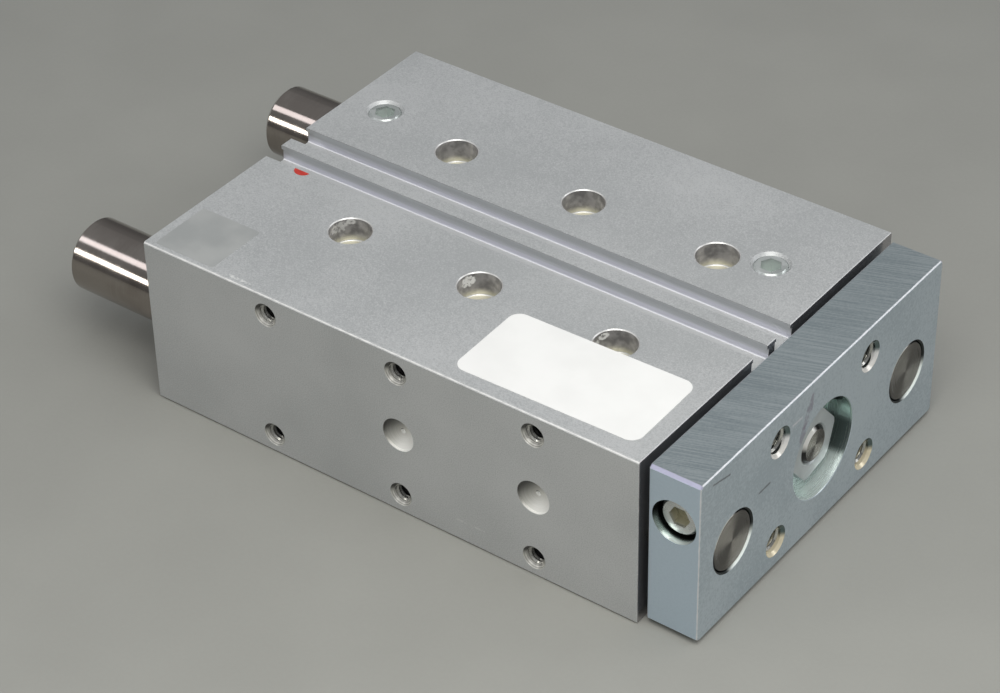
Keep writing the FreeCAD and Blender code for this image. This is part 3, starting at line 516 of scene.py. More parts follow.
    @classmethod
    def rings(cls) -> bpy.types.NodeTree:
        """Turning marks about an axis along X: a face across it leans in and out with its radius.

        The fan of light and dark sectors is the cosine of twice the angle about the axis.

        Returns:
            The node group.
        """
        graph, given, result = cls.start(
            Effect.RINGS, ("Ring scale", "Lean", "Fan turn"), ("Centre",),
            ("Radius", "Rings", "Fan", "Normal"),
        )
        off_axis = graph.vector("SUBTRACT", graph.place(), given.outputs["Centre"])
        spoke = graph.vector("MULTIPLY", off_axis, (0.0, 1.0, 1.0))
        radius = graph.length(spoke)
        rings = graph.noise(graph.joined(radius, 0.0, 0.0), given.outputs["Ring scale"], 2.0)
        lean = graph.product(graph.minus(rings, 0.5), given.outputs["Lean"])
        outwards = graph.scaled(graph.vector("NORMALIZE", spoke), lean)
        facing = graph.node("ShaderNodeNewGeometry").outputs["Normal"]
        _, across, upright = graph.axes(spoke)
        angle = graph.minus(graph.math("ARCTAN2", upright, across), given.outputs["Fan turn"])
        wave = graph.math("COSINE", graph.product(angle, 2.0))
        graph.feed(result.inputs["Radius"], radius)
        graph.feed(result.inputs["Rings"], rings)
        graph.feed(result.inputs["Fan"], graph.times_plus(wave, 0.5, 0.5))
        leaning = graph.vector("NORMALIZE", graph.vector("ADD", facing, outwards))
        graph.feed(result.inputs["Normal"], leaning)
        return graph.tree


@dataclass(frozen=True)
class Zone:
    """What one feature adds to a finish.

    The layers are masks with their tones, in painting order. The matt masks show less metal, and the cut
    masks are bare of grain.
    """

    layers: tuple[Layer, ...] = ()
    matt: tuple[Feed, ...] = ()
    cut: tuple[Feed, ...] = ()

    @classmethod
    def joined(cls, *zones: "Zone") -> "Zone":
        """Joins several zones.

        Args:
            zones: The zones in painting order.

        Returns:
            One zone with everything that they add.
        """
        return cls(
            tuple(layer for zone in zones for layer in zone.layers),
            tuple(mask for zone in zones for mask in zone.matt),
            tuple(mask for zone in zones for mask in zone.cut),
        )


@dataclass(frozen=True)
class Patch:
    """A scuff or a stain: an ellipsoid in millimetres, turned about X, that is broken up by noise."""

    centre: Point
    reach: Point
    tone: Colour
    cover: float
    share: float
    break_scale: float
    turn: float = 0.0

    def layer(self, graph: Graph) -> Layer:
        """Works out the patch.

        Args:
            graph: The material's graph.

        Returns:
            The patch's mask and its tone.
        """
        mask = graph.effect(
            Effect.PATCH, centre=mm(*self.centre), half_size=mm(*self.reach), turn=(self.turn, 0.0, 0.0),
            break_scale=self.break_scale, cover=self.cover,
        ).outputs["Mask"]
        return graph.product(mask, self.share), self.tone


@dataclass(frozen=True)
class Scratch:
    """A straight scratch between two points, in millimetres."""

    start: Point
    end: Point
    width: float
    tone: Colour
    share: float = 0.8

    def layer(self, graph: Graph) -> Layer:
        """Works out the scratch.

        Args:
            graph: The material's graph.

        Returns:
            The scratch's mask and its tone.
        """
        mask = graph.effect(
            Effect.SCRATCH, start=mm(*self.start), end=mm(*self.end), width=self.width * MM
        ).outputs["Mask"]
        return graph.product(mask, self.share), self.tone


@dataclass(frozen=True)
class Finish:
    """A finish with a colour that drifts between two tones, a grain and a roughness that follows it."""

    name: str
    dark: Colour
    light: Colour
    metallic: float
    smooth: float
    rough: float
    cloud_scale: float = 60.0
    grain_scale: float = 4000.0
    relief: float = 0.01
    strength: float = 0.3

    def make(self) -> bpy.types.Material:
        """Builds the material.

        Returns:
            The material, with its shader joined to its output.
        """
        material = bpy.data.materials.new(self.name)
        material.use_nodes = True
        material.node_tree.nodes.clear()
        graph = Graph(material.node_tree)
        shader = graph.node("ShaderNodeBsdfPrincipled")
        output = graph.node("ShaderNodeOutputMaterial")
        graph.feed(output.inputs["Surface"], shader.outputs[0])
        shader.inputs["Metallic"].default_value = self.metallic
        for name, value in self.paint(graph).items():
            graph.feed(shader.inputs[name], value)
        return material

    def grain(self, graph: Graph) -> tuple[Socket, Socket]:
        """Returns the finish's coarse cloud and its fine grain."""
        made = graph.effect(Effect.GRAIN, cloud_scale=self.cloud_scale, grain_scale=self.grain_scale)
        return made.outputs["Cloud"], made.outputs["Grain"]

    def drift(self, graph: Graph, pattern: Feed, spread: Span = NOISE_SPREAD) -> Socket:
        """Returns the colour that a pattern gives between the two tones."""
        return graph.blend(graph.ramp(pattern, *spread), self.dark, self.light)

    def satin(self, graph: Graph, pattern: Feed, spread: Span = NOISE_SPREAD) -> Socket:
        """Returns the roughness that a pattern gives."""
        return graph.ramp(pattern, *spread, self.smooth, self.rough)

    def bumped(self, graph: Graph, height: Feed) -> Socket:
        """Returns the normal that a height gives."""
        return graph.bump(height, self.strength, self.relief * MM)

    def paint(self, graph: Graph) -> dict[str, Feed]:
        """Works out what feeds the shader.

        Args:
            graph: The material's graph.

        Returns:
            The shader's inputs by name.
        """
        cloud, grain = self.grain(graph)
        return {
            "Base Color": self.drift(graph, cloud),
            "Roughness": self.satin(graph, grain),
            "Normal": self.bumped(graph, grain),
        }


@dataclass(frozen=True)
class AnodisedFinish(Finish):
    """Satin anodised aluminium of the housing, with worn edges, milled ends, machined holes and scuffs, and
    with painted light and shade in its holes, slots and on its ends.

    Sizes are in millimetres. A depth counts from the face that a hole or a slot starts in, and a span of a
    fade is where it begins and where it ends.
    """

    strength: float = 0.35
    speckle_spread: Span = (0.36, 0.64)
    grain_share: float = 0.6
    scuffs: tuple[Patch, ...] = ()
    skin: float = 0.01

    edge: Colour = (0.88, 0.88, 0.87)
    edge_overhang: float = 0.3
    edge_width: float = 0.42
    edge_matt: float = 0.6
    nick_scale: float = 420.0
    nick_depth: float = 0.3

    # The ends' darker tone is partly their milled finish and partly painted shade
    end: Colour = (0.44, 0.43, 0.44)
    end_skin: float = 0.05
    end_metal: float = 0.4
    end_polish: float = -0.12
    tooled_rough: float = 0.38
    shade: Colour = (0.012, 0.012, 0.012)

    recess_radius: float = 5.76
    recess_depth: float = 6.8
    # Painted highlight on each recess's top rim and along the edge of its floor
    rim_highlight: Colour = (0.78, 0.78, 0.77)
    rim_depth: float = 0.26
    floor_highlight: Span = (0.02, 0.38)
    wall_dark: Colour = (0.31, 0.304, 0.31)
    wall_light: Colour = (0.54, 0.53, 0.54)
    wall_scale: float = 420.0
    # Painted light that rises from each recess floor up its wall
    painted_glow: Colour = (0.70, 0.68, 0.57)
    painted_glow_height: float = 2.4

    side_depths: Span = (0.015, 15.0)
    tap: Colour = (0.64, 0.635, 0.60)
    tap_radius: float = 3.4
    tap_line_pitch: float = 0.42
    tap_line_spread: Span = (-0.2, 0.9)
    tap_line_share: float = 0.45
    tap_shade_rise: Span = (-1.2, 1.4)
    tap_shade_share: float = 0.9
    tap_dark_depth: Span = (0.9, 2.6)

    dish: Colour = (0.72, 0.715, 0.68)
    dish_radius: float = 4.9
    dish_ring_scale: float = 3.2
    dish_ring_spread: Span = (0.35, 0.65)
    dish_light: Span = (-1.0, 4.5)
    dish_light_share: float = 0.6
    dish_shade: Span = (-6.0, 1.5)
    dish_shade_share: float = 0.88
    # The dot tone is the painted highlight on the dishes and on the lower halves of their drill marks
    dot: Colour = (0.95, 0.95, 0.93)
    dot_radius: float = 0.75
    dot_level: float = 0.1
    dot_shade_share: float = 0.7

    slot_wall: Colour = (0.59, 0.61, 0.625)
    # Painted light: the wall lighter and lavender towards the floor, the floor lighter, and a painted
    # highlight line at the floor's edge
    slot_wall_lit: Colour = (0.76, 0.76, 0.86)
    slot_dark: Colour = (0.42, 0.42, 0.44)
    slot_floor_lit: Colour = (0.60, 0.61, 0.605)
    slot_highlight: Colour = (0.86, 0.87, 0.92)
    slot_reach: float = 3.8
    slot_depths: Span = (0.2, 10.2)
    slot_light_fade: Span = (1.9, 4.2)
    slot_highlight_depths: Span = (4.38, 4.62)
    slot_floor_matt: float = 0.3
    slot_stretch: Point = (12.0, 1500.0, 1500.0)
    slot_drawn_share: float = 0.25

    def rows(self, graph: Graph) -> tuple[Socket, Socket]:
        """Folds the hole rows onto one, so that the distance to one hole serves all of them.

        Args:
            graph: The material's graph.

        Returns:
            The place along the housing from its nearest row, and a mask of the stretch that has rows.
        """
        from_middle = graph.minus(graph.axes(graph.place_mm())[0], ROW_MIDDLE)
        from_row = graph.math("WRAP", from_middle, -ROW_PITCH / 2, ROW_PITCH / 2)
        return from_row, graph.below(graph.size(from_middle), ROW_PITCH * 3 / 2)

    def recesses(self, graph: Graph) -> Zone:
        """Marks the screw-head recesses: tooled walls, a painted highlight on the top rim and along the
        floor's edge, and painted light that rises from the floor up the wall.

        Args:
            graph: The material's graph.

        Returns:
            The recesses' zone.
        """
        _, across, upright = graph.axes(graph.place_mm())
        from_row, in_rows = self.rows(graph)
        from_axis = graph.distance(from_row, graph.minus(graph.size(across), SCREW_OFFSET))
        inside = graph.within(upright, (self.skin, HOUSING_TOP - self.skin))
        bore = graph.product(graph.below(from_axis, self.recess_radius), in_rows, inside)
        above_floor = graph.minus(upright, HOUSING_TOP - self.recess_depth)
        # Painted highlight: a band under the top face and a line along the floor's edge
        rim = graph.greatest(
            graph.above(upright, HOUSING_TOP - self.rim_depth), graph.within(above_floor, self.floor_highlight)
        )
        tooled = graph.ramp(graph.noise(graph.place(), self.wall_scale, detail=5.0), *self.speckle_spread)
        wall = graph.blend(tooled, self.wall_dark, self.wall_light)
        # Painted light, brightest at the floor and fading up the wall
        painted_glow = graph.ramp(above_floor, 0.0, self.painted_glow_height, 1.0, 0.0)
        layers = (bore, graph.blend(painted_glow, wall, self.painted_glow)), (graph.product(bore, rim), self.rim_highlight)
        return Zone(layers, cut=(bore,))

    def side_holes(self, graph: Graph) -> Zone:
        """Marks the taps and the centring dishes in the near side.

        A dish has turned rings and a drill mark in its middle, with painted light on its lower right and
        painted shade at its upper left; the mark has a painted highlight below and painted shade above. A
        tap's chamfer has fine rings of painted shade and painted shade on its upper part, and painted shade
        deepens with the tap's depth.

        Args:
            graph: The material's graph.

        Returns:
            The zone of the side's holes.
        """
        _, across, upright = graph.axes(graph.place_mm())
        from_row, in_rows = self.rows(graph)
        depth = graph.math("ADD", across, HOUSING_SIDE)
        sunk = graph.product(graph.within(depth, self.side_depths), in_rows)
        level = graph.minus(upright, SIDE_TAP_MIDDLE)

        ring = graph.distance(from_row, level)
        dish = graph.product(graph.below(ring, self.dish_radius), sunk)
        lean = graph.minus(from_row, level)
        # Painted light on the dish's lower right
        light = graph.product(dish, graph.ramp(lean, *self.dish_light))
        dot = graph.product(dish, graph.below(ring, self.dot_radius))
        rings = graph.noise(graph.joined(ring, 0.0, 0.0), self.dish_ring_scale)
        turned = graph.blend(graph.ramp(rings, *self.dish_ring_spread), self.dish, self.tap)
        # Painted light and painted shade over the turned dish, then a painted highlight and painted shade
        # on the drill mark
        turned = graph.layered(turned, (
            (graph.product(light, self.dish_light_share), self.dot),
            (graph.ramp(lean, *self.dish_shade, self.dish_shade_share, 0.0), self.shade),
            (graph.product(dot, graph.below(level, self.dot_level)), self.dot),
            (graph.product(dot, graph.above(level, self.dot_level), self.dot_shade_share), self.shade),
        ))

        from_tap = graph.minus(graph.size(level), SIDE_TAP_RISE)
        radius = graph.distance(from_row, from_tap)
        tap = graph.product(graph.below(radius, self.tap_radius), sunk)
        wave = graph.math("SINE", graph.product(radius, 2 * math.pi / self.tap_line_pitch))
        rise = graph.product(from_tap, graph.math("SIGN", level))
        # Painted shade on the upper part of the tap's chamfer and in fine rings across it
        shade = graph.greatest(
            graph.ramp(rise, *self.tap_shade_rise, 0.0, self.tap_shade_share),
            graph.ramp(wave, *self.tap_line_spread, 0.0, self.tap_line_share),
        )
        # The last layer is painted shade that deepens with the tap's depth
        layers = (
            (dish, turned), (tap, self.tap), (graph.product(tap, shade), self.shade),
            (graph.product(tap, graph.ramp(depth, *self.tap_dark_depth)), self.shade),
        )
        return Zone(layers, matt=(light,), cut=(dish, tap))

    def slots(self, graph: Graph) -> Zone:
        """Marks the sensor slots: drawn walls painted lighter towards the floor, a floor painted lighter
        and a painted highlight line between them.

        Args:
            graph: The material's graph.

        Returns:
            The slots' zone.
        """
        _, across, upright = graph.axes(graph.place_mm())
        depth = graph.minus(HOUSING_TOP, upright)
        from_slot = graph.size(graph.minus(graph.size(across), SLOT_OFFSET))
        slots = graph.product(
            graph.below(from_slot, self.slot_reach), graph.within(depth, self.slot_depths)
        )
        # Painted light on the floor and a painted highlight line along its edge
        floor = graph.product(slots, graph.above(depth, self.slot_highlight_depths[1]))
        line = graph.product(slots, graph.within(depth, self.slot_highlight_depths))
        # The wall is painted lighter and lavender with depth
        wall = graph.blend(graph.ramp(depth, *self.slot_light_fade), self.slot_wall, self.slot_wall_lit)
        drawn = graph.effect(Effect.LINES, stretch=self.slot_stretch).outputs["Lines"]
        drawn_share = graph.ramp(drawn, *NOISE_SPREAD, 0.0, self.slot_drawn_share)
        layers = (
            (slots, graph.blend(drawn_share, wall, self.slot_dark)), (floor, self.slot_floor_lit),
            (line, self.slot_highlight),
        )
        return Zone(layers, matt=(line, graph.product(floor, self.slot_floor_matt)))

    def edges(self, graph: Graph) -> Zone:
        """Marks the worn edges.

        Args:
            graph: The material's graph.

        Returns:
            The edges' zone.
        """
        half = HOUSING_TOP / 2
        worn = graph.effect(
            Effect.EDGE, centre=mm(0.0, 0.0, half),
            half_size=mm(HOUSING_END + self.edge_overhang, HOUSING_SIDE, half),
            width=self.edge_width * MM, nick_scale=self.nick_scale, nick_depth=self.nick_depth * MM,
        ).outputs["Mask"]
        return Zone(((worn, self.edge),), matt=(graph.product(worn, self.edge_matt),))

    def scuffed(self, graph: Graph) -> Zone:
        """Returns the zone of the scuffs."""
        layers = tuple(scuff.layer(graph) for scuff in self.scuffs)
        return Zone(layers, matt=tuple(mask for mask, _ in layers))

    def paint(self, graph: Graph) -> dict[str, Feed]:
        """Works out what feeds the shader.

        Args:
            graph: The material's graph.

        Returns:
            The shader's inputs by name.
        """
        cloud, grain = self.grain(graph)
        speckle = graph.times_plus(cloud, 1 - self.grain_share, graph.product(grain, self.grain_share))
        # The milled ends are more metallic and smoother, and painted darker as shade
        end = graph.above(graph.size(graph.axes(graph.place_mm())[0]), HOUSING_END - self.end_skin)
        zone = Zone.joined(
            self.edges(graph), self.slots(graph), Zone(((end, self.end),), cut=(end,)),
            self.recesses(graph), self.side_holes(graph), self.scuffed(graph),
        )
        cut = graph.greatest(*zone.cut)
        plain = graph.minus(1.0, cut)
        bare = graph.times_plus(end, self.end_metal, self.metallic)
        tooled = graph.times_plus(end, self.end_polish, self.tooled_rough)
        satin = graph.product(self.satin(graph, grain), plain)
        return {
            "Base Color": graph.layered(self.drift(graph, speckle, self.speckle_spread), zone.layers),
            "Metallic": graph.times_plus(graph.greatest(*zone.matt), -self.metallic, bare),
            "Roughness": graph.times_plus(cut, tooled, satin),
            "Normal": self.bumped(graph, graph.product(grain, plain)),
        }


@dataclass(frozen=True)
class ThreadFinish(Finish):
    """The ridges of a thread, bright at the hole's mouth and darker with depth, in millimetres."""

    strength: float = 0.2
    inwards: Point = (0.0, 1.0, 0.0)
    mouth: float = 0.0
    dark_depth: Span = (1.3, 3.4)
    shade: Colour = (0.012, 0.012, 0.012)

    def paint(self, graph: Graph) -> dict[str, Feed]:
        """Works out what feeds the shader.

        Args:
            graph: The material's graph.

        Returns:
            The shader's inputs by name.
        """
        cloud, grain = self.grain(graph)
        depth = graph.minus(graph.vector("DOT_PRODUCT", graph.place_mm(), self.inwards), self.mouth)
        dark = graph.ramp(depth, *self.dark_depth)
        return {
            "Base Color": graph.blend(dark, self.drift(graph, cloud), self.shade),
            "Roughness": self.satin(graph, grain),
            "Normal": self.bumped(graph, grain),
        }


@dataclass(frozen=True)
class SocketFinish(Finish):
    """A bright screw or plug whose hexagon socket is duller inside and painted with one flat tone of light
    and shade, in millimetres.
    """

    strength: float = 0.2
    mouth: Point = (0.0, 0.0, 0.0)
    outwards: Point = (0.0, 0.0, 1.0)
    radius: float = 2.95
    dull_height: Span = (-1.2, -0.1)
    dull_metal: float = 0.4
    # The socket's inside tone is painted shade, and in the plugs it is painted lighter as painted light
    shade: Colour = (0.50, 0.48, 0.36)

    def paint(self, graph: Graph) -> dict[str, Feed]:
        """Works out what feeds the shader.

        Args:
            graph: The material's graph.

        Returns:
            The shader's inputs by name.
        """
        cloud, grain = self.grain(graph)
        off_mouth = graph.vector("SUBTRACT", graph.place_mm(), self.mouth)
        from_axis = graph.length(graph.vector("CROSS_PRODUCT", off_mouth, self.outwards))
        height = graph.vector("DOT_PRODUCT", off_mouth, self.outwards)
        socket = graph.product(
            graph.below(from_axis, self.radius), graph.ramp(height, *self.dull_height, 1.0, 0.0)
        )
        return {
            "Base Color": graph.blend(socket, self.drift(graph, cloud), self.shade),
            "Metallic": graph.ramp(socket, 0.0, 1.0, self.metallic, self.dull_metal),
            "Roughness": self.satin(graph, cloud),
            "Normal": self.bumped(graph, grain),
        }


@dataclass(frozen=True)
class PlateFinish(Finish):
    """Zinc-plated steel of the yoke plate: ground top, turned recess, stains and scratches in front, with
    painted light and shade in its holes, recess, seats and clamp bores and a painted tint of light on its
    flanks.

    Sizes are in millimetres and angles in radians. A span of a fade is where it begins and where it ends.
    """

    edge: Colour = (0.80, 0.81, 0.84)
    edge_width: float = 0.36
    nick_scale: float = 380.0
    nick_depth: float = 0.25
    short_edge: Colour = (0.56, 0.55, 0.74)
    short_edge_side: Span = (52.4, 52.55)
    short_edge_level: Span = (46.65, 46.8)
    short_edge_share: float = 0.85
    stains: tuple[Patch, ...] = ()
    scratches: tuple[Scratch, ...] = ()
    shade: Colour = (0.03, 0.035, 0.035)
    turned: Colour = (0.60, 0.71, 0.68)
    # Painted light on the lit walls of the recess, the seat rims and the clamp bores
    painted_light: Colour = (0.90, 0.97, 0.95)

    speckle_scale: float = 1500.0
    speckle_share: float = 0.55
    speckle_spread: Span = (0.40, 0.60)
    top_dark: Colour = (0.25, 0.295, 0.315)
    top_light: Colour = (0.38, 0.425, 0.445)
    top_level: Span = (47.2, 47.4)
    ground_stretch: Point = (70.0, 3400.0, 70.0)
    ground_turn: float = math.radians(-20.0)
    ground_spread: Span = (0.36, 0.64)
    ground_share: float = 0.7
    # Painted bluer tint on the flanks, standing in for the light that falls on the plate's sides
    flank_light_tint: Colour = (0.535, 0.645, 0.745)
    flank_side: Span = (53.0, 53.2)
    flank_share: float = 0.8

    # Painted shade inside the tapped holes and the painted glints on their lower walls
    hole_shade: Colour = (0.15, 0.20, 0.20)
    golden_glint: Colour = (0.80, 0.68, 0.40)
    silver_glint: Colour = (0.88, 0.91, 0.98)
    hole_radius: float = 4.2
    hole_light: Span = (-1.6, 0.4)
    golden_level: Span = (BORE_LEVEL, 44.0)
    golden_share: float = 0.75

    recess_radius: float = 13.3
    recess_front: float = 89.6
    recess_low: Span = (-0.82, -0.60)
    recess_high: Span = (-0.12, 0.10)
    recess_dark_share: float = 0.65
    recess_light_share: float = 0.62
    milled_stretch: Point = (2600.0, 40.0, 40.0)
    milled_rough: Span = (-0.04, 0.08)
    cut_rough: float = 0.22
    cut_metal: float = 0.9
    matt_loss: float = 0.6

    seat_radius: float = 8.46
    seat_front: float = 89.74
    seat_light: Span = (0.35, 0.85)

    clamp_radius: float = 6.15
    clamp_side: float = 53.1
    clamp_down: Point = (0.5, 0.0, -0.87)
    clamp_low: Span = (1.0, 4.5)
    clamp_light_side: Span = (50.8, 52.6)
    clamp_light_share: float = 0.75
    clamp_shade: Span = (-3.5, 0.5)
    clamp_shade_share: float = 0.95
    clamp_dark_side: Span = (50.6, 52.0)

    top_relief: float = 0.5
    grain_relief: float = 0.5
    milled_relief: float = 0.4

    def holes(self, graph: Graph) -> Zone:
        """Marks the tapped holes: walls in dark teal painted shade, with a painted glint on their lower
        walls, silver above and golden below.

        Args:
            graph: The material's graph.

        Returns:
            The holes' zone.
        """
        _, across, upright = graph.axes(graph.place_mm())
        level = graph.minus(upright, BORE_LEVEL)
        from_hole = graph.minus(graph.size(level), PLATE_TAP_RISE)
        radius = graph.distance(graph.minus(graph.size(across), PLATE_TAP_OFFSET), from_hole)
        holes = graph.below(radius, self.hole_radius)
        rise = graph.product(from_hole, graph.math("SIGN", level))
        # Painted glint on the lower wall of each hole
        light = graph.product(holes, graph.ramp(rise, *self.hole_light, 1.0, 0.0))
        golden_glint = graph.ramp(upright, *self.golden_level, self.golden_share, 0.0)
        layers = (holes, self.hole_shade), (light, graph.blend(golden_glint, self.silver_glint, self.golden_glint))
        return Zone(layers, matt=(light,), cut=(holes,))

    def recess(self, graph: Graph) -> Zone:
        """Marks the turned recess, with painted shade on the wall at the right and painted light below.

        Args:
            graph: The material's graph.

        Returns:
            The recess's zone.
        """
        along, across, upright = graph.axes(graph.place_mm())
        level = graph.minus(upright, BORE_LEVEL)
        radius = graph.distance(across, level)
        recess = graph.product(
            graph.below(radius, self.recess_radius), graph.below(along, self.recess_front)
        )
        angle = graph.math("ARCTAN2", level, across)
        low = graph.ramp(angle, *self.recess_low)
        high = graph.ramp(angle, *self.recess_high, 1.0, 0.0)
        # Painted shade on the recess wall at the right and painted light below
        dark = graph.product(recess, low, high, self.recess_dark_share)
        light = graph.product(recess, graph.minus(1.0, low), self.recess_light_share)
        layers = (recess, self.turned), (dark, self.shade), (light, self.painted_light)
        return Zone(layers, matt=(light,), cut=(recess,))

    def seats(self, graph: Graph) -> Zone:
        """Marks the rims of the rod seats in painted shade, with a painted fan of light.

        Args:
            graph: The material's graph.

        Returns:
            The seats' zone.
        """
        along, across, _ = graph.axes(graph.place_mm())
        rod_side = graph.product(graph.math("SIGN", across), ROD_OFFSET * MM)
        seat = graph.effect(
            Effect.RINGS, centre=graph.joined(0.0, rod_side, ROD_LEVEL * MM), ring_scale=1.0, lean=0.0,
            fan_turn=FAN_TURN,
        )
        in_seat = graph.below(seat.outputs["Radius"], self.seat_radius * MM)
        rim = graph.product(in_seat, graph.below(along, self.seat_front))
        light = graph.product(rim, graph.ramp(seat.outputs["Fan"], *self.seat_light))
        return Zone(((rim, self.shade), (light, self.painted_light)), matt=(light,))

    def clamps(self, graph: Graph) -> Zone:
        """Marks the clamp bores: painted light on their lower right, painted shade above and with depth.

        Args:
            graph: The material's graph.

        Returns:
            The clamp bores' zone.
        """
        place = graph.place_mm()
        outwards = graph.size(graph.axes(place)[1])
        off_axis = graph.vector("SUBTRACT", place, (PLATE_MIDDLE, 0.0, CLAMP_LEVEL))
        spoke = graph.vector("MULTIPLY", off_axis, (1.0, 0.0, 1.0))
        within = graph.below(graph.length(spoke), self.clamp_radius)
        clamp = graph.product(within, graph.below(outwards, self.clamp_side))
        lean = graph.vector("DOT_PRODUCT", spoke, self.clamp_down)
        light = graph.product(
            clamp, graph.ramp(lean, *self.clamp_low), graph.ramp(outwards, *self.clamp_light_side),
            self.clamp_light_share,
        )
        dark = graph.greatest(
            graph.ramp(outwards, *self.clamp_dark_side, 1.0, 0.0),
            graph.ramp(lean, *self.clamp_shade, self.clamp_shade_share, 0.0),
        )
        layers = (clamp, self.turned), (light, self.painted_light), (graph.product(clamp, dark), self.shade)
        return Zone(layers, matt=(light,), cut=(clamp,))

    def outside(self, graph: Graph, top: Feed, drift: Feed, ground: Feed) -> Zone:
        """Marks the top, the flanks with their painted tint of light, the stains, the scratches and the
        edges.

        Args:
            graph: The material's graph.
            top: The mask of the top face.
            drift: The slow change of the zinc's tone, from 0 to 1.
            ground: The grinding lines.

        Returns:
            The zone of the outside.
        """
        _, across, upright = graph.axes(graph.place_mm())
        outwards = graph.size(across)
        lined = graph.times_plus(
            graph.ramp(ground, *self.ground_spread), self.ground_share,
            graph.product(drift, 1 - self.ground_share),
        )
        # Painted tint of light on the flanks
        flank_light_tint = graph.ramp(outwards, *self.flank_side, 0.0, self.flank_share)
        marks = tuple(mark.layer(graph) for mark in self.stains + self.scratches)
        half = (PLATE_FRONT - PLATE_MIDDLE, PLATE_SIDE, (PLATE_TOP - PLATE_BASE) / 2)
        worn = graph.effect(
            Effect.EDGE, centre=mm(PLATE_MIDDLE, 0.0, (PLATE_TOP + PLATE_BASE) / 2), half_size=mm(*half),
            width=self.edge_width * MM, nick_scale=self.nick_scale, nick_depth=self.nick_depth * MM,
        ).outputs["Mask"]
        short = graph.product(
            graph.ramp(outwards, *self.short_edge_side), graph.ramp(upright, *self.short_edge_level),
            self.short_edge_share,
        )
        return Zone((
            (top, graph.blend(lined, self.top_dark, self.top_light)), (flank_light_tint, self.flank_light_tint), *marks,
            (worn, self.edge), (short, self.short_edge),
        ))

    def paint(self, graph: Graph) -> dict[str, Feed]:
        """Works out what feeds the shader.

        Args:
            graph: The material's graph.

        Returns:
            The shader's inputs by name.
        """
        cloud, grain = self.grain(graph)
        ground = graph.effect(
            Effect.LINES, stretch=self.ground_stretch, turn=(0.0, 0.0, self.ground_turn)
        ).outputs["Lines"]
        milled = graph.effect(Effect.LINES, stretch=self.milled_stretch).outputs["Lines"]
        speckle = graph.noise(graph.place(), self.speckle_scale, detail=3.0)
        speckle = graph.product(speckle, self.speckle_share)
        mottled = graph.times_plus(cloud, 1 - self.speckle_share, speckle)
        drift = graph.ramp(mottled, *self.speckle_spread)
        top = graph.ramp(graph.axes(graph.place_mm())[2], *self.top_level)
        recess_zone = self.recess(graph)
        recess = recess_zone.cut[0]
        zone = Zone.joined(
            self.outside(graph, top, drift, ground), self.holes(graph), recess_zone, self.seats(graph),
            self.clamps(graph),
        )
        cut = graph.greatest(*zone.cut)
        plain = graph.minus(1.0, cut)
        bare = graph.times_plus(cut, self.cut_metal - self.metallic, self.metallic)
        metal = graph.times_plus(graph.greatest(*zone.matt), -self.matt_loss, bare)
        uneven = graph.ramp(milled, *NOISE_SPREAD, *self.milled_rough)
        tooled = graph.times_plus(recess, uneven, self.cut_rough)
        satin = graph.product(self.satin(graph, grain), plain)
        brushed = graph.product(ground, top, self.top_relief)
        height = graph.times_plus(grain, graph.product(plain, self.grain_relief), brushed)
        height = graph.times_plus(milled, graph.product(recess, self.milled_relief), height)
        return {
            "Base Color": graph.layered(graph.blend(drift, self.dark, self.light), zone.layers),
            "Metallic": graph.greatest(metal, 0.0),
            "Roughness": graph.times_plus(cut, tooled, satin),
            "Normal": self.bumped(graph, height),
        }


@dataclass(frozen=True)
class TurnedFinish(Finish):
    """A ground or turned steel rod along X: rings and a painted fan of light and shade on its front end, a
    rim of painted shade and highlight round that end, and fine lines round its side.

    Its axis is in metres, and its other sizes are in millimetres.
    """

    axis: Point = (0.0, 0.0, 0.0)
    ring_scale: float = 9000.0
    lean: float = 3.0
    side_stretch: Point = (3200.0, 90.0, 90.0)
    side_share: float = 0.2
    side_spread: Span = (0.38, 0.62)
    front: float = 88.9
    ring_share: float = 0.5
    fan_shade: Colour = (0.10, 0.093, 0.086)
    fan_light: Colour = (0.40, 0.375, 0.345)
    fan_spread: Span = (0.05, 0.95)
    rim_radius: float = 7.48
    rim_shade: Colour = (0.01, 0.01, 0.01)
    rim_light: Colour = (0.93, 0.92, 0.88)
    rim_spread: Span = (0.4, 0.9)
    rim_matt: float = 0.75

    def paint(self, graph: Graph) -> dict[str, Feed]:
        """Works out what feeds the shader.

        Args:
            graph: The material's graph.

        Returns:
            The shader's inputs by name.
        """
        cloud, _ = self.grain(graph)
        ground = graph.effect(Effect.LINES, stretch=self.side_stretch).outputs["Lines"]
        turned = graph.effect(
            Effect.RINGS, centre=self.axis, ring_scale=self.ring_scale, lean=self.lean, fan_turn=FAN_TURN
        ).outputs
        marks = graph.times_plus(ground, self.side_share, graph.product(cloud, 1 - self.side_share))
        fan = graph.times_plus(graph.minus(turned["Rings"], 0.5), self.ring_share, turned["Fan"])
        # Painted fan of light and shade on the front end
        face = graph.blend(graph.ramp(fan, *self.fan_spread), self.fan_shade, self.fan_light)
        glint = graph.ramp(turned["Fan"], *self.rim_spread)
        front = graph.above(graph.axes(graph.place_mm())[0], self.front)
        beyond = graph.above(turned["Radius"], self.rim_radius * MM)
        # Painted shade round the front end's rim, with a painted highlight where the fan is bright
        rim = graph.product(front, beyond)
        layers = (front, face), (rim, graph.blend(glint, self.rim_shade, self.rim_light))
        return {
            "Base Color": graph.layered(self.drift(graph, marks, self.side_spread), layers),
            "Metallic": graph.times_plus(rim, -self.rim_matt, self.metallic),
            "Roughness": self.satin(graph, marks, self.side_spread),
            "Normal": turned["Normal"],
        }


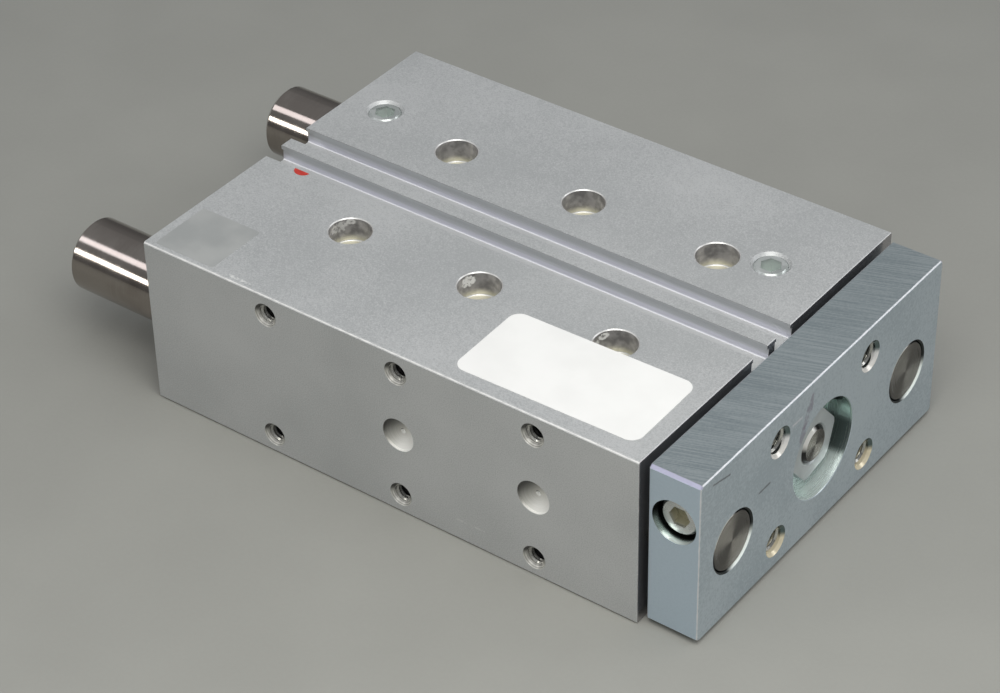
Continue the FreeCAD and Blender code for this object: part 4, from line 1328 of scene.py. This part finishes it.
SCUFF_TONE: Colour = (0.90, 0.90, 0.88)
SCRATCH_TONE: Colour = (0.14, 0.14, 0.16)
HOUSING_FINISH = AnodisedFinish(
    "anodised_aluminium", dark=(0.50, 0.515, 0.52), light=(0.645, 0.655, 0.66), metallic=0.55,
    smooth=0.44, rough=0.58, cloud_scale=26.0, grain_scale=3000.0, relief=0.012,
    scuffs=tuple(
        Patch(centre, reach, SCUFF_TONE, cover, share, break_scale=1300.0)
        for centre, reach, cover, share in (
            ((-40.3, -20.3, 46.4), (3.2, 5.0, 3.0), 0.09, 0.55),
            ((-38.6, -17.4, 47.4), (2.2, 2.2, 1.4), 0.10, 0.7),
            ((-0.4, -19.6, 46.3), (3.4, 3.6, 2.8), 0.12, 1.0),
            ((39.8, -19.6, 47.0), (2.4, 2.6, 1.8), 0.10, 1.0),
            ((39.4, -21.6, 46.0), (1.8, 1.8, 1.5), 0.08, 0.8),
            ((-45.0, -53.4, HOUSING_TOP), (9.0, 1.0, 0.5), 0.02, 0.5),
            ((25.8, -HOUSING_SIDE, 6.2), (8.5, 0.5, 0.7), 0.02, 0.22),
        )
    ),
)
INNER_FINISH = Finish(
    "turned_aluminium", dark=(0.46, 0.47, 0.47), light=(0.60, 0.61, 0.61), metallic=0.8,
    smooth=0.28, rough=0.42,
)
PLATE_FINISH = PlateFinish(
    "zinc_plated_plate", dark=(0.47, 0.545, 0.60), light=(0.57, 0.645, 0.70), metallic=0.6,
    smooth=0.36, rough=0.48, cloud_scale=38.0, grain_scale=2800.0, relief=0.012,
    stains=tuple(
        Patch((PLATE_FRONT, *place), reach, tone, cover=0.10, share=0.6, break_scale=420.0, turn=turn)
        for place, reach, tone, turn in (
            ((-7.8, 39.4), (3.0, 2.6, 8.5), (0.27, 0.23, 0.31), -0.377),
            ((-10.0, 34.0), (3.0, 2.2, 5.0), (0.30, 0.26, 0.34), -0.2),
        )
    ),
    scratches=tuple(
        Scratch((PLATE_FRONT, *start), (PLATE_FRONT, *end), width, tone)
        for start, end, width, tone in (
            ((-14.6, 39.9), (-10.8, 39.8), 1.0, (0.80, 0.80, 0.86)),
            ((-41.4, 43.4), (-48.1, 44.8), 0.9, SCRATCH_TONE),
            ((-23.8, 29.1), (-28.5, 29.0), 1.1, SCRATCH_TONE),
        )
    ),
)
ROD_FINISHES: dict[str, Finish] = {
    rod: TurnedFinish(
        f"{rod}_steel", dark=(0.305, 0.27, 0.245), light=(0.375, 0.34, 0.31), metallic=1.0,
        smooth=0.10, rough=0.15, cloud_scale=70.0, axis=mm(0.0, across, level), front=front,
        rim_radius=rim_radius, fan_light=fan_light,
    )
    # fan_light is the painted light of each rod's fan, darker on the far rod
    for rod, across, level, front, rim_radius, fan_light in (
        ("guide_rod_left", ROD_OFFSET, ROD_LEVEL, 88.9, 7.48, (0.27, 0.255, 0.235)),
        ("guide_rod_right", -ROD_OFFSET, ROD_LEVEL, 88.9, 7.48, (0.38, 0.355, 0.325)),
        ("piston_rod", 0.0, BORE_LEVEL, 86.7, 4.18, (0.40, 0.375, 0.345)),
    )
}
FASTENER_FINISH = Finish(
    "bright_zinc", dark=(0.52, 0.52, 0.49), light=(0.70, 0.70, 0.66), metallic=0.95,
    smooth=0.16, rough=0.26, cloud_scale=160.0, grain_scale=1500.0, relief=0.002,
)
NUT_FINISH = Finish(
    "nut_zinc", dark=(0.50, 0.545, 0.56), light=(0.60, 0.645, 0.66), metallic=0.5,
    smooth=0.30, rough=0.42, cloud_scale=160.0, grain_scale=2800.0, relief=0.006,
)
CLAMP_FINISHES: dict[str, Finish] = {
    f"clamp_screw_{side}": SocketFinish(
        f"clamp_zinc_{side}", dark=(0.56, 0.58, 0.575), light=(0.68, 0.695, 0.68), metallic=0.8,
        smooth=0.20, rough=0.30, cloud_scale=160.0, grain_scale=1500.0, relief=0.002,
        mouth=(PLATE_MIDDLE, sign * CLAMP_HEAD, CLAMP_LEVEL), outwards=(0.0, sign, 0.0),
    )
    for side, sign in (("left", 1.0), ("right", -1.0))
}
PLUG_FINISHES: dict[str, Finish] = {
    f"port_plug_{end}": SocketFinish(
        f"plug_zinc_{end}", dark=(0.52, 0.555, 0.545), light=(0.68, 0.71, 0.70), metallic=0.7,
        smooth=0.24, rough=0.36, cloud_scale=220.0, grain_scale=1500.0, relief=0.002,
        # The plugs' sockets are painted light inside
        mouth=(along, PLUG_OFFSET, PLUG_TOP), shade=(0.60, 0.655, 0.63),
    )
    for end, along in zip(("front", "rear"), PORT_PLACES)
}
SPRING_FINISH = Finish(
    "blackened_spring_steel", dark=(0.05, 0.05, 0.055), light=(0.10, 0.10, 0.11), metallic=0.7,
    smooth=0.32, rough=0.5, cloud_scale=180.0,
)
BRONZE_FINISH = Finish(
    "bearing_bronze", dark=(0.36, 0.24, 0.12), light=(0.50, 0.34, 0.18), metallic=0.9,
    smooth=0.28, rough=0.42, cloud_scale=140.0,
)
RUBBER_FINISH = Finish(
    "seal_rubber", dark=(0.018, 0.018, 0.02), light=(0.035, 0.035, 0.037), metallic=0.0,
    smooth=0.5, rough=0.7, cloud_scale=200.0, relief=0.02,
)
MAGNET_FINISH = Finish(
    "magnet_compound", dark=(0.05, 0.045, 0.042), light=(0.085, 0.08, 0.075), metallic=0.0,
    smooth=0.5, rough=0.68, cloud_scale=260.0, relief=0.02,
)
BEARING_FINISH = Finish(
    "bearing_plastic", dark=(0.13, 0.105, 0.07), light=(0.19, 0.155, 0.105), metallic=0.0,
    smooth=0.42, rough=0.56, cloud_scale=200.0,
)
PAPER_FINISH = Finish(
    "label_paper", dark=(0.84, 0.84, 0.83), light=(0.88, 0.88, 0.87), metallic=0.0,
    smooth=0.36, rough=0.48, cloud_scale=90.0, grain_scale=5200.0, relief=0.006,
)
FILM_FINISH = Finish(
    "silver_film", dark=(0.48, 0.495, 0.49), light=(0.58, 0.59, 0.58), metallic=0.5,
    smooth=0.30, rough=0.38, cloud_scale=80.0, grain_scale=5000.0, relief=0.0008,
)
MARK_FINISH = Finish(
    "red_mark_paint", dark=(0.46, 0.03, 0.02), light=(0.58, 0.05, 0.035), metallic=0.0,
    smooth=0.35, rough=0.5, cloud_scale=700.0, relief=0.01,
)


class SurfaceMesh:
    """Gathers closed grid surfaces into one mesh."""

    def __init__(self, name: str) -> None:
        """Starts an empty mesh.

        Args:
            name: The piece's name.
        """
        self.name = name
        self.points: list[np.ndarray] = []
        self.quads: list[np.ndarray] = []
        self.count = 0

    def add(self, grid: np.ndarray) -> None:
        """Adds a surface whose second parameter closes on itself.

        Neighbouring rows and columns of the grid bound one four-sided face each.

        Args:
            grid: Points of the surface, rows by columns by three, in metres.
        """
        rows, columns = grid.shape[:2]
        here = np.arange(rows - 1)[:, None] * columns
        after = here + columns
        column = np.arange(columns)[None, :]
        beside = (column + 1) % columns
        corners = (here + column, after + column, after + beside, here + beside)
        self.quads.append(np.stack(corners, axis=-1).reshape(-1, 4) + self.count)
        self.points.append(grid.reshape(-1, 3))
        self.count += rows * columns

    def finish(self, finish: bpy.types.Material, body: Body, slot: str | None = None) -> bpy.types.Object:
        """Makes the object, closes its poles and sets it on its body.

        Args:
            finish: The material.
            body: What the piece rides on.
            slot: Not used.

        Returns:
            The finished piece.
        """
        mesh = bpy.data.meshes.new(self.name)
        mesh.from_pydata(np.concatenate(self.points).tolist(), [], np.concatenate(self.quads).tolist())
        solid = bmesh.new()
        solid.from_mesh(mesh)
        bmesh.ops.remove_doubles(solid, verts=solid.verts, dist=WELD)
        bmesh.ops.recalc_face_normals(solid, faces=solid.faces)
        solid.to_mesh(mesh)
        solid.free()
        mesh.materials.append(finish)
        piece = bpy.data.objects.new(self.name, mesh)
        bpy.context.scene.collection.objects.link(piece)
        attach(piece, body.value)
        LOG.info("%s: %d faces on %s", self.name, len(mesh.polygons), body.value)
        return piece


@dataclass(frozen=True)
class Thread:
    """A right-hand internal thread that starts at a hole's mouth, in millimetres.

    The foot and the tip are half widths of the ridge as shares of the pitch.
    """

    mouth: Point
    inwards: Point
    radius: float
    pitch: float
    first: float
    last: float
    height: float
    sunk: float = 0.03
    steps: int = 28
    foot: float = 0.44
    tip: float = 0.07

    def ridge(self) -> np.ndarray:
        """Works out the thread's ridge.

        A blunt triangle with its foot sunk in the wall is carried along a helix, one pitch for each turn.
        It shrinks to a point over the first and the last quarter turn.

        Returns:
            Points along the helix by points of the profile, in metres.
        """
        axis = np.array(self.inwards)
        seed = np.array((0.0, 0.0, 1.0) if axis[2] == 0.0 else (1.0, 0.0, 0.0))
        first_side = np.cross(seed, axis)
        second_side = np.cross(axis, first_side)
        turns = (self.last - self.first) / self.pitch
        angle = np.linspace(0.0, 2 * np.pi * turns, int(turns * self.steps))[:, None]
        fade = np.clip(np.minimum(angle, angle[-1] - angle) / (np.pi / 2), 0.0, 1.0)
        spread = np.array((-self.foot, -self.tip, self.tip, self.foot))[None, :] * self.pitch
        rise = np.array((0.0, 1.0, 1.0, 0.0))[None, :] * (self.height + self.sunk)
        depth = self.first + self.pitch * angle / (2 * np.pi) + spread * fade
        radius = self.radius + self.sunk - rise * fade
        points = (
            np.array(self.mouth)
            + depth[..., None] * axis
            + (radius * np.cos(angle))[..., None] * first_side
            + (radius * np.sin(angle))[..., None] * second_side
        )
        return points * MM


@dataclass(frozen=True)
class Sheet:
    """A thin flat piece stuck on the housing's top face, in millimetres.

    Each ring of its surface has a share of the outline and a share of the thickness.
    """

    name: str
    middle: Span
    length: float
    width: float
    turn: float = 0.0
    corner: float = 1.0
    thickness: float = 0.08
    lift: float = 0.01
    half_round: bool = False
    steps: int = 96
    rings: tuple[Span, ...] = ((0.0, 1.0), (0.5, 1.0), (1.0, 0.92), (1.0, 0.0), (0.0, 0.0))

    def outline(self) -> np.ndarray:
        """Works out the sheet's edge.

        A rounded rectangle is a circle whose quarters are pushed apart to the corners. A half-round mark
        is a circle whose far half is pressed flat.

        Returns:
            The edge about the middle, points by two.
        """
        angle = (np.arange(self.steps) + 0.5) * 2 * np.pi / self.steps
        ring = np.stack((np.cos(angle), np.sin(angle)), axis=1)
        half = np.array((self.length, self.width)) / 2
        if self.half_round:
            return np.stack((ring[:, 0], np.minimum(ring[:, 1], 0.0)), axis=1) * half
        return np.sign(ring) * (half - self.corner) + ring * self.corner

    def surface(self) -> np.ndarray:
        """Works out the sheet as rings from the middle of its top, over its edge, to the middle below.

        Returns:
            Rings by points, in metres.
        """
        shares, heights = np.array(self.rings).T
        turn = math.radians(self.turn)
        rotation = np.array(((math.cos(turn), math.sin(turn)), (-math.sin(turn), math.cos(turn))))
        placed = self.outline()[None] * shares[:, None, None] @ rotation + np.array(self.middle)
        level = HOUSING_TOP + self.lift + heights[:, None] * self.thickness
        level = np.broadcast_to(level, placed.shape[:2])[..., None]
        return np.concatenate((placed, level), axis=2) * MM

    def build(self, finish: bpy.types.Material) -> bpy.types.Object:
        """Builds the sheet on the housing.

        Args:
            finish: Its material.

        Returns:
            The piece.
        """
        mesh = SurfaceMesh(self.name)
        mesh.add(self.surface())
        return mesh.finish(finish, Body.HOUSING)


def dress(node: str, material: bpy.types.Material) -> None:
    """Gives a carried-over node its finish.

    Args:
        node: The node's name.
        material: The finish.
    """
    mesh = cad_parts[node].data
    if not mesh.materials:
        mesh.materials.append(material)
    for index in range(len(mesh.materials)):
        mesh.materials[index] = material
    LOG.info("%s: %s", node, material.name)


def dress_groups(*groups: tuple[Finish, tuple[str, ...]]) -> None:
    """Gives each group of carried-over nodes one finish.

    Args:
        groups: Finishes, each with the names of its nodes.
    """
    for finish, nodes in groups:
        material = finish.make()
        for node in nodes:
            dress(node, material)


def build_ridges(
    name: str, threads: list[Thread], finish: bpy.types.Material, body: Body, slot: str
) -> bpy.types.Object:
    """Builds the ridges of several threads as one piece.

    Args:
        name: The piece's name.
        threads: The threads.
        finish: Its material.
        body: What the piece rides on.
        slot: The record's material slot.

    Returns:
        The piece.
    """
    mesh = SurfaceMesh(name)
    for thread in threads:
        mesh.add(thread.ridge())
    return mesh.finish(finish, body, slot)


@dataclass
class Housing:
    """The aluminium block with its caps, bushes, rings, plugs, thread ridges, labels and mark."""

    rows: tuple[float, ...] = (ROW_MIDDLE + ROW_PITCH, ROW_MIDDLE, ROW_MIDDLE - ROW_PITCH)
    side_levels: Span = (SIDE_TAP_MIDDLE - SIDE_TAP_RISE, SIDE_TAP_MIDDLE + SIDE_TAP_RISE)
    sheets: tuple[Sheet, ...] = (
        Sheet("white_label", middle=(44.0, -37.4), length=51.2, width=26.0, turn=1.2, corner=3.2),
        Sheet(
            "film_label", middle=(-62.2, -44.4), length=18.6, width=18.2, turn=0.4, corner=0.7,
            thickness=0.06,
        ),
        Sheet(
            "sensor_mark", middle=(-62.0, -8.12), length=4.6, width=3.8, thickness=0.03, half_round=True
        ),
    )

    def threads(self) -> dict[str, list[Thread]]:
        """Places the housing's threads.

        Returns:
            The threads by piece name.
        """
        side = [
            Thread(
                (along, -HOUSING_SIDE, level), (0.0, 1.0, 0.0),
                radius=2.5, pitch=1.0, first=0.9, last=11.5, height=0.42,
            )
            for along in self.rows for level in self.side_levels
        ]
        base = [
            Thread(
                (along, across, 0.0), (0.0, 0.0, 1.0),
                radius=3.4, pitch=1.25, first=0.6, last=17.0, height=0.5,
            )
            for along in self.rows for across in (-SCREW_OFFSET, SCREW_OFFSET)
        ]
        ports = [
            Thread(
                (along, HOUSING_SIDE, PORT_LEVEL), (0.0, -1.0, 0.0),
                radius=4.4, pitch=0.907, first=0.8, last=8.5, height=0.4,
            )
            for along in PORT_PLACES
        ]
        return {"side_thread_ridges": side, "base_thread_ridges": base, "port_thread_ridges": ports}

    @staticmethod
    def thread_finish(name: str, thread: Thread) -> ThreadFinish:
        """Works out the finish of a set of threads that all start in one face.

        Args:
            name: The piece's name.
            thread: One of the threads.

        Returns:
            The finish.
        """
        return ThreadFinish(
            f"{name}_metal", dark=(0.40, 0.40, 0.38), light=(0.60, 0.60, 0.57), metallic=0.8,
            smooth=0.26, rough=0.4, cloud_scale=300.0, inwards=thread.inwards,
            mouth=float(np.dot(thread.mouth, thread.inwards)),
        )

    def build(self) -> None:
        """Builds the thread ridges and the sheets."""
        for name, threads in self.threads().items():
            metal = self.thread_finish(name, threads[0]).make()
            build_ridges(name, threads, metal, Body.HOUSING, "housing_aluminium")
        for sheet, finish in zip(self.sheets, (PAPER_FINISH, FILM_FINISH, MARK_FINISH)):
            sheet.build(finish.make())

    def dress(self) -> None:
        """Gives the housing's nodes their finishes."""
        dress_groups(
            (HOUSING_FINISH, ("housing",)),
            (INNER_FINISH, ("gland", "rear_cap")),
            (SPRING_FINISH, ("gland_retaining_ring", "rear_retaining_ring")),
            (RUBBER_FINISH, (
                "gland_o_ring", "rear_cap_o_ring", "rod_seal", "front_buffer", "rear_buffer",
                "guide_wiper_left", "guide_wiper_right",
            )),
            (BRONZE_FINISH, (
                "guide_bush_front_left", "guide_bush_rear_left", "guide_bush_front_right",
                "guide_bush_rear_right",
            )),
            (BEARING_FINISH, ("rod_bush",)),
            *((finish, (node,)) for node, finish in PLUG_FINISHES.items()),
        )


@dataclass
class Carriage:
    """Everything that makes the stroke: plate, rods, piston, nuts, clamp screws and thread ridges."""

    tap_offsets: Span = (-PLATE_TAP_OFFSET, PLATE_TAP_OFFSET)
    tap_levels: Span = (BORE_LEVEL - PLATE_TAP_RISE, BORE_LEVEL + PLATE_TAP_RISE)

    def build(self) -> None:
        """Builds the ridges of the plate's threads."""
        threads = [
            Thread(
                (PLATE_FRONT, across, level), (-1.0, 0.0, 0.0),
                radius=3.4, pitch=1.25, first=1.3, last=12.7, height=0.5,
            )
            for across in self.tap_offsets for level in self.tap_levels
        ]
        build_ridges(
            "plate_thread_ridges", threads, FASTENER_FINISH.make(), Body.CARRIAGE, "plate_zinc"
        )

    def dress(self) -> None:
        """Gives the carriage's nodes their finishes."""
        dress_groups(
            (PLATE_FINISH, ("yoke_plate",)),
            *((finish, (node,)) for node, finish in (ROD_FINISHES | CLAMP_FINISHES).items()),
            (FASTENER_FINISH, (
                "clamp_sleeve_left", "clamp_nut_left", "clamp_sleeve_right", "clamp_nut_right",
                "piston_nut",
            )),
            (NUT_FINISH, ("piston_rod_nut",)),
            (INNER_FINISH, ("piston_front", "piston_rear")),
            (RUBBER_FINISH, ("piston_seal_front", "piston_seal_rear")),
            (MAGNET_FINISH, ("piston_magnet",)),
            (BEARING_FINISH, ("piston_wear_ring",)),
        )


@dataclass
class PhotoCamera:
    """The camera of the photograph, placed by its angles and its distance, in millimetres and degrees.

    The clip distances are in metres.
    """

    azimuth: float = 37.38588
    elevation: float = 37.14173
    roll: float = -1.25855
    place: Point = (360.229, -479.290, 468.751)
    lens: float = 106.8025
    sensor: float = 36.0
    clip: Span = (0.01, 20.0)

    def build(self) -> bpy.types.Object:
        """Makes the camera and puts it in the scene.

        Returns:
            The camera.
        """
        turn, tilt, roll = (math.radians(angle) for angle in (self.azimuth, self.elevation, self.roll))
        back = Vector((math.sin(turn) * math.cos(tilt), -math.cos(turn) * math.cos(tilt), math.sin(tilt)))
        level = Vector((math.cos(turn), math.sin(turn), 0.0))
        upright = back.cross(level)
        right = math.cos(roll) * level + math.sin(roll) * upright
        up = -math.sin(roll) * level + math.cos(roll) * upright
        rotation = Matrix((right, up, back)).transposed().to_4x4()
        lens = bpy.data.cameras.new("photo_camera")
        lens.lens, lens.sensor_width, lens.sensor_fit = self.lens, self.sensor, "HORIZONTAL"
        lens.clip_start, lens.clip_end = self.clip
        camera = bpy.data.objects.new("photo_camera", lens)
        camera.matrix_world = Matrix.Translation(Vector(self.place) * MM) @ rotation
        bpy.context.scene.collection.objects.link(camera)
        bpy.context.scene.camera = camera
        return camera


@dataclass(frozen=True)
class SoftBox:
    """A square soft lamp that faces the middle of the part, in metres and watts."""

    name: str
    towards: Point
    distance: float
    size: float
    power: float
    colour: Colour

    def build(self, aim: Vector) -> bpy.types.Object:
        """Makes the lamp.

        Args:
            aim: The point that it faces.

        Returns:
            The lamp.
        """
        light = bpy.data.lights.new(self.name, "AREA")
        light.shape, light.size, light.energy, light.color = "SQUARE", self.size, self.power, self.colour
        lamp = bpy.data.objects.new(self.name, light)
        direction = Vector(self.towards).normalized()
        lamp.location = aim + direction * self.distance
        lamp.rotation_mode = "QUATERNION"
        lamp.rotation_quaternion = direction.to_track_quat("Z", "Y")
        lamp.visible_camera = False
        bpy.context.scene.collection.objects.link(lamp)
        return lamp


@dataclass
class Studio:
    """The floor, the soft lamps and the room light, in metres."""

    floor_half: float = 3.0
    floor_cells: int = 8
    floor_drop: float = 0.05 * MM
    floor_colour: Colour = (0.325, 0.325, 0.302)
    floor_shade: float = 0.95
    room_low: Colour = (0.15, 0.15, 0.15)
    room_high: Colour = (0.36, 0.37, 0.38)
    room_span: Span = (0.05, 0.85)
    aim: Point = (0.03, -0.02, 0.03)
    lamps: tuple[SoftBox, ...] = (
        SoftBox("front_box", (0.36, -0.42, 0.83), 0.50, 0.40, 1.75, (1.0, 0.985, 0.935)),
        SoftBox("left_low_box", (-0.634, -0.70, 0.329), 1.38, 0.22, 1.4, (1.0, 0.98, 0.92)),
        SoftBox("left_high_box", (-0.64, -0.326, 0.697), 1.37, 0.26, 0.55, (0.97, 0.945, 1.0)),
        SoftBox("back_box", (0.60, 0.63, 0.48), 1.40, 0.60, 2.2, (0.97, 0.98, 1.0)),
        SoftBox("overhead_box", (0.16, 0.06, 1.0), 1.30, 1.00, 3.5, (0.96, 0.98, 1.0)),
    )

    def build_floor(self) -> bpy.types.Object:
        """Makes the floor as a flat square grid just under the part.

        Returns:
            The floor.
        """
        cells, row = self.floor_cells, self.floor_cells + 1
        line = np.linspace(-self.floor_half, self.floor_half, row)
        across, along = np.meshgrid(line, line)
        points = np.stack((along, across, np.full_like(along, -self.floor_drop)), axis=-1).reshape(-1, 3)
        corner = (np.arange(cells)[:, None] * row + np.arange(cells)[None, :]).ravel()
        quads = np.stack((corner, corner + row, corner + row + 1, corner + 1), axis=1)
        mesh = bpy.data.meshes.new("floor")
        mesh.from_pydata(points.tolist(), [], quads.tolist())
        shade = tuple(part * self.floor_shade for part in self.floor_colour)
        paint = Finish(
            "floor_paint", dark=shade, light=self.floor_colour, metallic=0.0, smooth=0.75, rough=0.85,
            cloud_scale=22.0, grain_scale=900.0,
        )
        mesh.materials.append(paint.make())
        floor = bpy.data.objects.new("floor", mesh)
        bpy.context.scene.collection.objects.link(floor)
        return floor

    def build_room(self) -> None:
        """Lights the room evenly, a little more from above than from the sides."""
        world = bpy.data.worlds.new("room")
        world.use_nodes = True
        world.node_tree.nodes.clear()
        graph = Graph(world.node_tree)
        height = graph.axes(graph.node("ShaderNodeTexCoord").outputs["Generated"])[2]
        sky = graph.blend(graph.ramp(height, *self.room_span), self.room_low, self.room_high)
        background = graph.node("ShaderNodeBackground")
        graph.feed(background.inputs["Color"], sky)
        output = graph.node("ShaderNodeOutputWorld")
        graph.feed(output.inputs["Surface"], background.outputs[0])
        bpy.context.scene.world = world

    def build(self) -> None:
        """Makes the floor, the room and the lamps."""
        self.build_floor()
        self.build_room()
        for lamp in self.lamps:
            lamp.build(Vector(self.aim))
            LOG.info("lamp %s", lamp.name)


def main() -> None:
    """Builds the camera, the studio, the housing and the carriage, in that order."""
    logging.basicConfig(level=logging.INFO, format="%(name)s %(message)s")
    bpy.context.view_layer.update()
    bpy.context.scene.view_settings.view_transform = "Standard"
    PhotoCamera().build()
    Studio().build()
    for assembly in (Housing(), Carriage()):
        assembly.build()
        assembly.dress()


if __name__ == "__main__":
    main()
